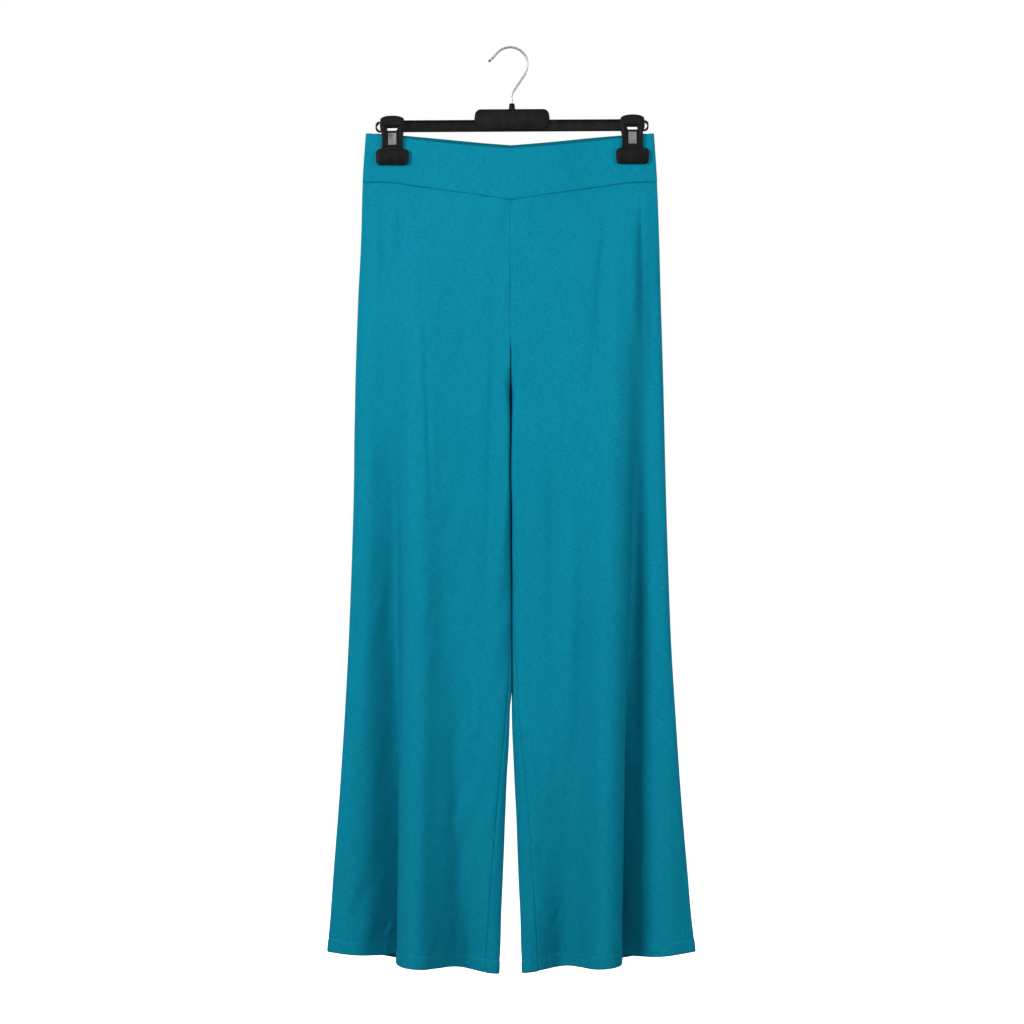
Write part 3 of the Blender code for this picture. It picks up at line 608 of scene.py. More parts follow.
@dataclass(frozen=True)
class PlasticFinish:
    """Black moulded polypropylene with a satin surface."""

    name: str = "black_moulded_plastic"
    colour: Colour = (0.0055, 0.0055, 0.006, 1.0)
    worn: Colour = (0.011, 0.011, 0.0115, 1.0)
    roughness: float = 0.4

    def make(self, effects: Effects) -> bpy.types.Material:
        """Build the material.

        Args:
            effects: The node groups that the finishes share.

        Returns:
            The material.
        """
        material, w, shader = new_finish(self.name)
        surface = effects.moulded.place(w, Place=w.place(), Grain=1500.0)
        marks = surface["Marks"]
        w.fill(shader, Base_Color=w.blend(marks, self.colour, self.worn),
               Roughness=w.band(marks, 0.0, 1.0, self.roughness, self.roughness + 0.14),
               Specular_IOR_Level=0.08)
        w.bump(shader, surface["Height"], 0.35, 0.0001)
        return material


@dataclass(frozen=True)
class MetalFinish:
    """Bright metal with faint drawing or rolling lines along one axis."""

    name: str
    colour: Colour
    dull: Colour
    roughness: float
    lines: tuple[float, float, float] = (1.0, 1.0, 1.0)
    relief: float = 0.15
    unevenness: float = 0.22

    def make(self, effects: Effects) -> bpy.types.Material:
        """Build the material.

        Args:
            effects: The node groups that the finishes share.

        Returns:
            The material.
        """
        material, w, shader = new_finish(self.name)
        surface = effects.moulded.place(w, Place=w.scaled(w.place(), *self.lines), Grain=900.0)
        w.fill(shader, Base_Color=w.blend(surface["Marks"], self.colour, self.dull), Metallic=1.0,
               Roughness=w.band(surface["Height"], 0.3, 0.7,
                                self.roughness * (1.0 - self.unevenness),
                                self.roughness * (1.0 + self.unevenness)))
        w.bump(shader, surface["Height"], self.relief, 0.00005)
        return material


@dataclass(frozen=True)
class FloorFinish:
    """A white studio floor that glows a little, so that it stays as pale as its surroundings."""

    name: str = "studio_floor"
    colour: Colour = (0.9, 0.9, 0.9, 1.0)
    pale: Colour = (0.93, 0.93, 0.93, 1.0)
    glow: float = 1.0

    def make(self) -> bpy.types.Material:
        """Build the material."""
        material, w, shader = new_finish(self.name)
        mottle = w.noise(w.place(), 3.0, 2.0)
        w.fill(shader, Base_Color=w.blend(mottle, self.colour, self.pale), Roughness=0.9,
               Emission_Color=(1.0, 1.0, 1.0, 1.0), Emission_Strength=self.glow)
        return material


@dataclass(frozen=True)
class Finishes:
    """The materials that the pieces wear."""

    knit: bpy.types.Material
    knit_inside: bpy.types.Material
    thread: bpy.types.Material
    plastic: bpy.types.Material
    chrome: bpy.types.Material
    wire_end: bpy.types.Material
    spring: bpy.types.Material

    @classmethod
    def make(cls) -> "Finishes":
        """Build every finish from the shared effects."""
        effects = Effects(make_knit_group(), make_heather_group(), make_moulded_group())
        looks = {
            "knit": KnitFinish(),
            # A darker copy of the knit for the waistband's inner layer: painted shade for the
            # shadow that falls inside the band.
            "knit_inside": KnitFinish("teal_knit_inside", (0.0012, 0.105, 0.158, 1.0),
                                      (0.0017, 0.128, 0.19, 1.0), (0.0023, 0.15, 0.218, 1.0)),
            "thread": ThreadFinish(),
            "plastic": PlasticFinish(),
            "chrome": MetalFinish("polished_wire", (0.42, 0.42, 0.43, 1), (0.41, 0.41, 0.42, 1),
                                  0.5, relief=0.01, unevenness=0.02),
            "wire_end": MetalFinish("cut_wire_end", (0.05, 0.05, 0.055, 1),
                                    (0.03, 0.03, 0.035, 1), 0.6),
            "spring": MetalFinish("rolled_spring_steel", (0.23, 0.235, 0.24, 1),
                                  (0.1, 0.105, 0.11, 1), 0.6, (0.5, 1.0, 1.0))}
        return cls(**{name: look.make(effects) for name, look in looks.items()})


# ---- Making pieces --------------------------------------------------------------------------

def to_mesh(name: str, bm: bmesh.types.BMesh) -> bpy.types.Mesh:
    """Turn a bmesh into a mesh, and free it.

    Args:
        name: The mesh's name.
        bm: The shape.

    Returns:
        The new mesh.
    """
    mesh = bpy.data.meshes.new(name)
    bm.to_mesh(mesh)
    bm.free()
    return mesh


def add_object(name: str, data: bpy.types.ID) -> bpy.types.Object:
    """Make an object and link it to the scene."""
    made = bpy.data.objects.new(name, data)
    bpy.context.scene.collection.objects.link(made)
    return made


def shade_smooth(bm: bmesh.types.BMesh) -> None:
    """Shade every face smooth."""
    for face in bm.faces:
        face.smooth = True


def mesh_piece(name: str, bm: bmesh.types.BMesh, material: bpy.types.Material, slot: Slot,
               replaced: Sequence[str] = ()) -> bpy.types.Object:
    """Turn a bmesh into a finished piece that rides on the part.

    Args:
        name: The piece's name.
        bm: The shape, in metres and in place. It is freed.
        material: The piece's main material.
        slot: The record's slot that its finish belongs to. It is not used.
        replaced: Nodes of the solid model that the piece stands for.

    Returns:
        The new object.
    """
    mesh = to_mesh(name, bm)
    mesh.materials.append(material)
    piece = add_object(name, mesh)
    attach(piece, BODY)
    if replaced:
        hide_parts(*replaced)
    LOG.info("%s: %d faces", name, len(mesh.polygons))
    return piece


def grid_normals(points: np.ndarray) -> np.ndarray:
    """Unit normals of a grid of points, along its columns' way crossed with its rows' way."""
    normal = np.cross(np.gradient(points, axis=1), np.gradient(points, axis=0))
    return normal / np.maximum(np.linalg.norm(normal, axis=2, keepdims=True), 1e-9)


def cloth_piece(name: str, points: np.ndarray, flat: np.ndarray, wall: float, flip: bool,
                material: bpy.types.Material, replaced: Sequence[str] = ()) -> bpy.types.Object:
    """A shell of cloth through a grid of points.

    Args:
        name: The piece's name.
        points: Rows by columns by 3, in millimetres.
        flat: Rows by columns by 2, each point's place on the flat cloth in millimetres.
        wall: The cloth's thickness in millimetres.
        flip: Whether the grid's own faces point inwards.
        material: The cloth's material.
        replaced: Nodes of the solid model that the piece stands for.

    Returns:
        The new object, with its wall made by Solidify.
    """
    rows, columns = points.shape[0] - 1, points.shape[1] - 1
    bm = bmesh.new()
    bmesh.ops.create_grid(bm, x_segments=columns, y_segments=rows, size=1.0)
    uv_layer = bm.loops.layers.uv.new("flat")
    for vert in bm.verts:
        column = round((vert.co.x + 1) / 2 * columns)
        row = round((vert.co.y + 1) / 2 * rows)
        vert.co = points[row, column] * MM
        place = flat[row, column] * MM
        for loop in vert.link_loops:
            loop[uv_layer].uv = place
    if flip:
        bmesh.ops.reverse_faces(bm, faces=bm.faces)
    shade_smooth(bm)
    piece = mesh_piece(name, bm, material, Slot.KNIT, replaced)
    solidify = piece.modifiers.new("wall", "SOLIDIFY")
    solidify.thickness = wall * MM
    solidify.offset = 0.0
    return piece


# ---- The trousers' form ---------------------------------------------------------------------

@dataclass(frozen=True)
class Lattice:
    """Points of a panel's columns at many drops. Each array is drops by columns."""

    drops: np.ndarray
    across: np.ndarray
    y: np.ndarray
    u: np.ndarray
    from_side: np.ndarray
    from_inner: np.ndarray

    def read(self, values: np.ndarray, column: int, drops: np.ndarray) -> np.ndarray:
        """One column of an array at other drops."""
        return np.interp(drops, self.drops, values[:, column])


@dataclass(frozen=True)
class TrouserForm:
    """How the trousers hang: their sections, folds, seam lines and edges."""

    sections: Rows = field(default_factory=lambda: Rows(SECTIONS))
    inseams: Rows = field(default_factory=lambda: Rows(INSEAMS))
    samples: int = 520
    middle_x: float = 0.8
    fold_fade: float = 120.0
    lap_start: float = 430.0
    lap_from: float = -0.6
    lap_fade: float = 1.9
    fold_reach: float = 1.8
    lobe_blend: float = 30.0
    edge_calm: float = 16.0
    yoke_side: float = 167.6
    yoke_dip: float = 24.0
    yoke_flat: float = 150.0
    band_top_side: float = 107.0
    hem_side: float = 1129.8
    hem_fall_left: float = 27.5
    hem_fall_right: float = 26.5
    back_hem_extra: float = 6.0
    seam_end_front: float = 377.0
    seam_end_back: float = 364.0
    fork: float = 446.0
    fork_behind: float = 8.0
    fork_curve: float = 1.8
    fold_margin: float = 0.04
    facing_step: float = 4.0
    centre_reach: float = 10.0
    turn_share: float = 0.75
    turn_rise: float = 14.0
    soften_share: float = 0.25
    soften_from: float = 250.0
    soften_over: float = 700.0
    thin_share: float = 0.3
    thin_from: float = 400.0
    thin_over: float = 500.0
    pinch_from: float = 30.0
    pinch_full: float = 127.0
    pinch_drop: float = 150.0
    pinch_fade: float = 120.0
    parting_bend: float = 1.7
    parting_depth: float = 7.0
    parting_reach: float = 14.0
    parting_from: float = 446.0
    parting_to: float = 830.0
    parting_fade: float = 30.0
    rear_from: float = 330.0
    rear_to: float = 510.0
    rear_depth: float = 9.0

    def parting_shift(self, across: np.ndarray, y: np.ndarray, drop: np.ndarray) -> np.ndarray:
        """How far both legs' seams and inner walls bend sideways together, to shut the view.

        Args:
            across: Distances from the middle.
            y: Places along Y.
            drop: Drops.

        Returns:
            The move along X at each point.
        """
        below = ease((drop - self.parting_from) / self.parting_fade) * ease(
            (self.parting_to - drop) / self.parting_fade)
        behind = ease((drop - self.rear_from) / self.parting_fade) * ease(
            (self.rear_to - drop) / (2 * self.parting_fade))
        bent = np.maximum(np.exp(-(y / self.parting_depth) ** 2) * below,
                          ease(y / self.rear_depth) * behind)
        return self.parting_bend * bent * np.exp(-(across / self.parting_reach) ** 2)

    def clip_opening(self, across: np.ndarray, drop: np.ndarray) -> np.ndarray:
        """How far the cloth is free of the clips: 0 between the jaws, 1 well away from them."""
        near = ease((across - self.pinch_from) / (self.pinch_full - self.pinch_from))
        return 1.0 - near * (1.0 - ease((drop - self.pinch_drop) / self.pinch_fade))

    def fold_offsets(self, leg: Leg, face: Face, across: np.ndarray,
                     drop: np.ndarray) -> tuple[np.ndarray, np.ndarray]:
        """How far a face's folds move its points.

        Args:
            leg: The leg.
            face: Its front or back.
            across: Distances from the middle, drops by samples.
            drop: The drops, as a column.

        Returns:
            The moves outwards and into the garment.
        """
        moved = np.zeros_like(across)
        pushed = np.zeros_like(across)
        for fold in FOLDS[leg, face]:
            below = np.maximum(drop - fold.start, 0.0)
            grown = np.minimum(below / (fold.full - fold.start), 1.0) ** fold.growth
            grown = grown * (1.0 - ease((drop - fold.end) / self.fold_fade))
            inward = fold.centre(below / (self.hem_side - fold.start)) - across
            if fold.lobe:
                width = fold.width + (fold.lobe - fold.width) * ease(inward / self.lobe_blend + 0.5)
                t = inward / width
                swing = t * np.exp(0.5 - t * t / 2)
                lapped = np.maximum(drop - self.lap_start, 0.0) / (self.hem_side - self.lap_start)
                lapped = lapped * (1.0 - ease((t - self.lap_from) / self.lap_fade))
                moved = moved + fold.lap * swing * lapped
                pushed = pushed - fold.depth * grown * swing
            else:
                t = inward / fold.width
                pushed = pushed + fold.depth * grown * np.exp(-t * t / 2)
        return moved, pushed

    def face_points(self, leg: Leg, face: Face, drops: np.ndarray,
                    wall: float) -> tuple[np.ndarray, np.ndarray, np.ndarray, np.ndarray]:
        """The middle surface of one face of a leg.

        Args:
            leg: The leg.
            face: Its front or back.
            drops: The drops to work out.
            wall: The cloth's thickness.

        Returns:
            Each sample's place u from the side seam to the inner edge, its across and y, as
            drops by samples, and the u where each section starts to close.
        """
        drop = drops[:, None]
        side = self.sections.at(leg.word, drop)
        gap = self.sections.at("gap", drop)
        width = side - gap
        u = (1.0 - np.cos(np.linspace(0.0, math.pi, self.samples)))[None, :] / 2
        across = side - u * width
        halfway = self.sections.at(face.word, drop)
        inner = self.sections.at(face.word + "_in", drop)
        standing = halfway + (inner - halfway) * ease((u - 0.5) * 2)
        power = 1.0 - self.soften_share * ease((drop - self.soften_from) / self.soften_over)
        side_round = self.sections.at("side_round", drop)
        closing = (1.0 - (1.0 - np.clip(u * width / side_round, 0, 1)) ** 2) ** power
        edge = wall / 2 * (1.0 - self.thin_share * ease((drop - self.thin_from) / self.thin_over))
        depth = edge + (standing - edge) * closing * self.clip_opening(across, drop)
        calm = ease(u * width / self.edge_calm) * ease((1 - u) * width / self.edge_calm)
        moved, pushed = self.fold_offsets(leg, face, across, drop)
        depth = depth - pushed * calm
        across = across + moved * calm
        inner_round = self.sections.at("inner_round", drop)
        from_edge = np.clip((1 - u) * width / np.maximum(inner_round, 0.01), 0, 1)
        depth = depth * np.where(inner_round > 0.01, np.sqrt(1.0 - (1.0 - from_edge) ** 2), 1.0)
        seam_y = self.sections.at("seam_y", drop)
        y = seam_y + face.value * depth
        u_all = np.broadcast_to(u, across.shape)
        return (np.hstack([u_all, np.ones_like(drop)]), np.hstack([across, gap]),
                np.hstack([y, seam_y]), (1.0 - inner_round / width)[:, 0])

    def seam_end(self, face: Face) -> float:
        """Drop where a face's centre seam starts to turn under the fork."""
        return self.seam_end_front if face is Face.FRONT else self.seam_end_back

    def panel_end(self, leg: Leg, face: Face, drop: float, edge: float, corner: float) -> float:
        """Distance from the side seam, round a section, to the seam at a panel's inner end.

        Args:
            leg: The leg.
            face: Its front or back.
            drop: The section's drop.
            edge: Distance to the leg's inner edge.
            corner: Distance to where the section starts to close.

        Returns:
            The distance to the seam.
        """
        start = self.seam_end(face)
        if drop <= start:
            return corner
        if drop < self.fork:
            reach = ((drop - start) / (self.fork - start)) ** self.fork_curve
            return corner + reach * (edge - face.value * self.fork_behind - corner)
        return edge + face.value * float(self.inseams.at(leg.word, drop))

    def lattice(self, leg: Leg, face: Face, drops: np.ndarray, plan: "PanelPlan",
                wall: float) -> Lattice:
        """Lay a panel's columns over the form.

        Args:
            leg: The leg.
            face: Its front or back.
            drops: The drops to work out.
            plan: How many columns each stretch has.
            wall: The cloth's thickness.

        Returns:
            The panel's columns at each drop.
        """
        other = Face.BACK if face is Face.FRONT else Face.FRONT
        *own, corner_u = self.face_points(leg, face, drops, wall)
        *rest, _ = self.face_points(leg, other, drops, wall)
        u, across, y = (np.hstack([near, far[:, -2::-1]]) for near, far in zip(own, rest))
        last = own[0].shape[1] - 1
        big = next(fold for fold in FOLDS[leg, face] if fold.lobe)
        start = self.seam_end(face)
        rows = []
        for i, drop in enumerate(drops):
            arcs = arc_lengths(np.column_stack([across[i], y[i]]))
            own_u, own_arcs = u[i, :last], arcs[:last]
            corner = float(np.interp(min(corner_u[i], 1.0), own_u, own_arcs))
            end = self.panel_end(leg, face, float(drop), arcs[last], corner)
            centre = big.centre((drop - big.start) / (self.hem_side - big.start))
            side = float(self.sections.at(leg.word, drop))
            gap = float(self.sections.at("gap", drop))
            reaches = (-self.fold_reach * big.width, self.fold_reach * big.lobe)
            places = [max((side - centre + reach) / (side - gap), self.fold_margin)
                      for reach in reaches]
            wanted = plan.columns(*np.interp(places, own_u, own_arcs), end)
            new_across, new_y, new_u = (np.interp(wanted, arcs, path[i]) for path in (across, y, u))
            if drop < self.fork:
                near = np.interp([end - self.facing_step, end], arcs, y[i])
                facing = max(min(abs(near[1] - near[0]) / self.facing_step, 1.0),
                             self.turn_share * float(ease((drop - start) / self.turn_rise + 1)))
                middle = np.exp(-((end - wanted) / self.centre_reach) ** 2)
                new_across = new_across + (wall / 2 * facing - new_across[-1]) * middle
            rows.append((new_across, new_y, new_u, wanted, end - wanted))
        stacked = [np.array([row[k] for row in rows]) for k in range(5)]
        return Lattice(drops, *stacked)

    def yoke_drop(self, across: np.ndarray | float) -> np.ndarray | float:
        """Drop of the seam under the waistband."""
        rise = 1.0 - across / self.yoke_flat
        return self.yoke_side + self.yoke_dip * (rise + np.sqrt(rise * rise + 0.004)) / 2

    def band_top_drop(self, face: Face, across: float) -> float:
        """Drop of the waistband's top edge."""
        top = BAND_TOPS[face]
        return self.band_top_side + top.dip * (1.0 - min(across / top.flat, 1.0) ** top.bend)

    def hem_drop(self, leg: Leg, face: Face, u: np.ndarray) -> np.ndarray:
        """Drop of the hem at a place u between the side seam and the inner edge."""
        fall = self.hem_fall_left if leg is Leg.LEFT else self.hem_fall_right
        extra = self.back_hem_extra * np.sin(np.pi * u) ** 2 if face is Face.BACK else 0.0
        return self.hem_side + fall * u + extra


@dataclass(frozen=True)
class PanelPlan:
    """How many columns and rows a leg piece is built with."""

    outer: int = 16
    fold: int = 78
    inner: int = 44
    yoke_rows: int = 8
    above_fork: int = 56
    fork: int = 20
    below: int = 152
    hem_rows: int = 16
    yoke_depth: float = 7.0
    hem_depth: float = 24.0
    edge_power: float = 1.6

    def columns(self, fold_start: float, fold_end: float, end: float) -> np.ndarray:
        """Distances of the columns from the side seam, closer together near both seams.

        Args:
            fold_start: Where the big fold's own columns begin.
            fold_end: Where they end.
            end: Where the panel ends.

        Returns:
            One distance for each column.
        """
        first = fold_start * np.linspace(0, 1, self.outer + 1)[:-1] ** self.edge_power
        fold = np.linspace(fold_start, fold_end, self.fold + 1)[:-1]
        left = 1 - (1 - np.linspace(0, 1, self.inner + 1)) ** self.edge_power
        return np.concatenate([first, fold, fold_end + (end - fold_end) * left])

    def heights(self, top: float, start: float, fork: float, hem: float) -> np.ndarray:
        """Drops of the rows at the panel's inner end.

        Args:
            top: Drop of the yoke seam.
            start: Drop where the centre seam starts to turn under.
            fork: Drop of the fork.
            hem: Drop of the hem.

        Returns:
            One drop for each row.
        """
        keys = [top, top + self.yoke_depth, start, fork, hem - self.hem_depth, hem]
        parts = [self.yoke_rows, self.above_fork, self.fork, self.below, self.hem_rows]
        runs = [np.linspace(keys[i], keys[i + 1], parts[i] + 1)[:-1] for i in range(5)]
        return np.concatenate([*runs, [hem]])


# ---- Leg pieces -----------------------------------------------------------------------------

@dataclass(frozen=True)
class LegPiece:
    """One of the four cut pieces of the legs, with its turned-up hem and its stitches."""

    leg: Leg
    face: Face
    form: TrouserForm
    plan: PanelPlan = PanelPlan()
    wall: float = 1.2
    level_step: float = 2.5
    seam_roll: float = 0.5
    seam_roll_width: float = 0.95
    inner_roll: float = 1.1
    inner_roll_width: float = 1.3
    top_roll: float = 0.16
    top_swell: float = 0.4
    top_swell_width: float = 4.0
    allowance: float = 0.35
    allowance_width: float = 7.0
    allowance_step: float = 1.4
    hem_depth: float = 16.0
    hem_lift: float = 0.35
    hem_step: float = 1.5
    brink_roll: float = 0.5
    brink_width: float = 1.0
    seam_calm: float = 5.0
    stitch_groove: float = 0.45
    stitch_groove_width: float = 1.1
    pucker: float = 0.42
    drape: float = 0.38
    drape_waves: int = 14
    turn_up_gap: float = 0.25
    turn_up_wall: float = 0.9
    turn_up_rise: float = 0.4
    stitch_length: float = 2.5
    stitch_pitch: float = 3.4
    stitch_radius: float = 0.24

    @property
    def node(self) -> str:
        """The name of the solid that the piece stands for."""
        return f"{self.face.word}_leg_{self.leg.word}"

    def crease_height(self, across: np.ndarray, drop: np.ndarray) -> np.ndarray:
        """How far the listed creases raise the cloth at each point.

        Args:
            across: Distances from the middle.
            drop: Drops.

        Returns:
            The height at each point.
        """
        height = np.zeros_like(across)
        for crease in CREASES[self.leg, self.face]:
            lean = math.radians(crease.lean)
            out, down = across - crease.across, drop - crease.drop
            along = out * math.sin(lean) + down * math.cos(lean)
            beside = out * math.cos(lean) - down * math.sin(lean)
            ends = ease(1.25 * (1.0 - np.abs(along) / (crease.length / 2)))
            height += crease.height * ends * np.exp(-(beside / crease.width) ** 2)
        return height

    def drape_height(self, flat: np.ndarray) -> np.ndarray:
        """Slow unevenness of hanging cloth, longer down the leg than across it.

        Args:
            flat: Places on the flat cloth.

        Returns:
            The height at each point.
        """
        seed = 17 * (self.leg is Leg.LEFT) + 5 * (self.face is Face.BACK) + 3
        rng = np.random.default_rng(seed)
        height = np.zeros(flat.shape[:2])
        for _ in range(self.drape_waves):
            across_wave, down_wave = rng.uniform(26, 70), rng.uniform(90, 320)
            phase = flat[..., 0] / across_wave + flat[..., 1] / down_wave * rng.choice([-1, 1])
            height += rng.uniform(0.3, 1.0) * np.sin(math.tau * (phase + rng.uniform()))
        return height * self.drape / 3

    def pucker_height(self, along: np.ndarray, above_hem: np.ndarray) -> np.ndarray:
        """Small puckers that the hem's stitches draw up.

        Args:
            along: Distances from the side seam.
            above_hem: Heights above the hem.

        Returns:
            The height at each point.
        """
        waves = (np.sin(along / 1.9 + 2.0 * np.sin(along / 17.0))
                 + 0.6 * np.sin(along / 3.1 + 1.5 * np.sin(along / 29.0)))
        near = np.exp(-((above_hem - self.hem_depth * 0.8) / 8.0) ** 2)
        return self.pucker * 0.6 * waves * near

    def grid(self) -> tuple[np.ndarray, np.ndarray, np.ndarray, np.ndarray]:
        """Work out the piece's middle surface.

        Returns:
            Points, flat places, outward normals and heights above the hem, in rows and columns.
        """
        form = self.form
        start = form.seam_end(self.face)
        lowest = float(form.hem_drop(self.leg, self.face, np.array(1.0))) + form.back_hem_extra
        levels = np.unique(np.concatenate([
            np.arange(form.yoke_side - 2, lowest + self.level_step, self.level_step),
            [start, form.fork - 0.01, form.fork]]))
        lattice = form.lattice(self.leg, self.face, levels, self.plan, self.wall)
        count = lattice.across.shape[1]
        side_level = np.array([form.yoke_side])
        hem_level = np.array([form.hem_side])
        top = np.array([form.yoke_drop(float(lattice.read(lattice.across, c, side_level)[0]))
                        for c in range(count)])
        hem = form.hem_drop(self.leg, self.face, np.array([
            float(lattice.read(lattice.u, c, hem_level)[0]) for c in range(count)]))
        heights = self.plan.heights(top[-1], start, form.fork, hem[-1])
        shares = (heights - top[-1]) / (hem[-1] - top[-1])
        drops = top[None, :] + shares[:, None] * (hem - top)[None, :]
        read = {name: np.column_stack([
            lattice.read(getattr(lattice, name), c, drops[:, c]) for c in range(count)])
            for name in ("across", "y", "from_side", "from_inner")}
        bent = form.parting_shift(read["across"], read["y"], drops)
        points = np.dstack([
            form.middle_x + self.leg.value * read["across"] + bent, read["y"], -drops])
        flat = np.dstack([self.leg.value * read["from_side"], drops])
        outward = -self.leg.value * self.face.value
        normals = grid_normals(points) * outward

        above_hem = hem[None, :] - drops
        from_top = drops - top[None, :]
        rolls = ((read["from_side"], self.seam_roll, self.seam_roll_width),
                 (read["from_inner"], self.inner_roll, self.inner_roll_width),
                 (from_top, self.top_roll, self.seam_roll_width))
        lift = sum(-roll * np.exp(-(edge / width) ** 2) for edge, roll, width in rolls)
        lift += self.top_swell * np.exp(-(from_top / self.top_swell_width) ** 2)
        if self.face is Face.BACK:
            for edge, _, _ in rolls[:2]:
                lift += self.allowance * (
                    1.0 - ease((edge - self.allowance_width) / self.allowance_step + 0.5))
        lift += self.hem_lift * (1.0 - ease((above_hem - self.hem_depth) / self.hem_step + 0.5))
        lift -= self.stitch_groove * np.exp(
            -((above_hem - self.hem_depth) / self.stitch_groove_width) ** 2)
        lift -= self.brink_roll * np.exp(-(above_hem / self.brink_width) ** 2)
        calm = ease(read["from_side"] / self.seam_calm) * ease(read["from_inner"] / self.seam_calm)
        shape = self.crease_height(read["across"], drops) + self.drape_height(flat)
        shape += self.pucker_height(read["from_side"], above_hem)
        points = points + normals * (lift + shape * calm)[..., None]
        return points, flat, grid_normals(points) * outward, above_hem

    def turn_up(self, points: np.ndarray, flat: np.ndarray, normals: np.ndarray,
                above_hem: np.ndarray, flip: bool, finishes: Finishes) -> bpy.types.Object:
        """The hem's inner layer, turned up inside the leg.

        Args:
            points: The piece's middle surface.
            flat: Its flat places.
            normals: Its outward normals.
            above_hem: Its heights above the hem.
            flip: Whether the grid's own faces point inwards.
            finishes: The materials.

        Returns:
            The new object.
        """
        rows = np.where(above_hem[:, -1] < self.hem_depth + self.hem_step)[0]
        inside = (self.wall + self.turn_up_wall) / 2 + self.turn_up_gap
        layer = points[rows] - normals[rows] * inside
        layer[-1, :, 2] += self.turn_up_rise
        mirrored = flat[rows] * np.array([1.0, -1.0])
        return cloth_piece(f"hem_{self.node}", layer, mirrored, self.turn_up_wall, flip,
                           finishes.knit)

    def stitches(self, points: np.ndarray, normals: np.ndarray, above_hem: np.ndarray,
                 finishes: Finishes) -> bpy.types.Object:
        """The row of stitches that holds the hem up, as small threads on the cloth.

        Args:
            points: The piece's middle surface.
            normals: Its outward normals.
            above_hem: Its heights above the hem.
            finishes: The materials.

        Returns:
            The new object.
        """
        line, way_out = [], []
        for c in range(points.shape[1]):
            order = np.argsort(above_hem[:, c])
            heights = above_hem[order, c]
            line.append([np.interp(self.hem_depth, heights, points[order, c, k]) for k in range(3)])
            way_out.append([np.interp(self.hem_depth, heights, normals[order, c, k])
                            for k in range(3)])
        line, way_out = np.array(line), np.array(way_out)
        line += way_out * (self.wall / 2 + self.stitch_radius * 0.4)
        arcs = arc_lengths(line)
        bm = bmesh.new()
        for centre in np.arange(self.stitch_pitch, arcs[-1] - self.stitch_pitch, self.stitch_pitch):
            reach = centre + np.array([-0.5, 0.0, 0.5]) * self.stitch_length
            a, middle, b = (Vector([float(np.interp(r, arcs, line[:, k])) for k in range(3)])
                            for r in reach)
            along = (b - a).normalized()
            turn = along.to_track_quat("Z", "Y").to_matrix().to_4x4()
            size = Matrix.Diagonal((self.stitch_radius, self.stitch_radius,
                                    self.stitch_length / 2, 1.0))
            place = Matrix.Translation(middle * MM) @ turn @ (size @ Matrix.Scale(MM, 4))
            bmesh.ops.create_uvsphere(bm, u_segments=6, v_segments=5, radius=1.0, matrix=place)
        shade_smooth(bm)
        return mesh_piece(f"stitches_{self.node}", bm, finishes.thread, Slot.KNIT)

    def build(self, finishes: Finishes) -> bpy.types.Object:
        """Args:
            finishes: The materials.

        Returns:
            The new object.
        """
        points, flat, normals, above_hem = self.grid()
        flip = self.leg.value * self.face.value > 0
        cloth = cloth_piece(f"cloth_{self.node}", points, flat, self.wall, flip, finishes.knit,
                            [self.node])
        extras = [self.turn_up(points, flat, normals, above_hem, flip, finishes),
                  self.stitches(points, normals, above_hem, finishes)]
        steps = np.linalg.norm(np.diff(points, axis=1), axis=2)
        falls = np.linalg.norm(np.diff(points, axis=0), axis=2)
        f"cloth_waistband_{self.face.word}"
        return cloth


# ---- Waistband ------------------------------------------------------------------------------

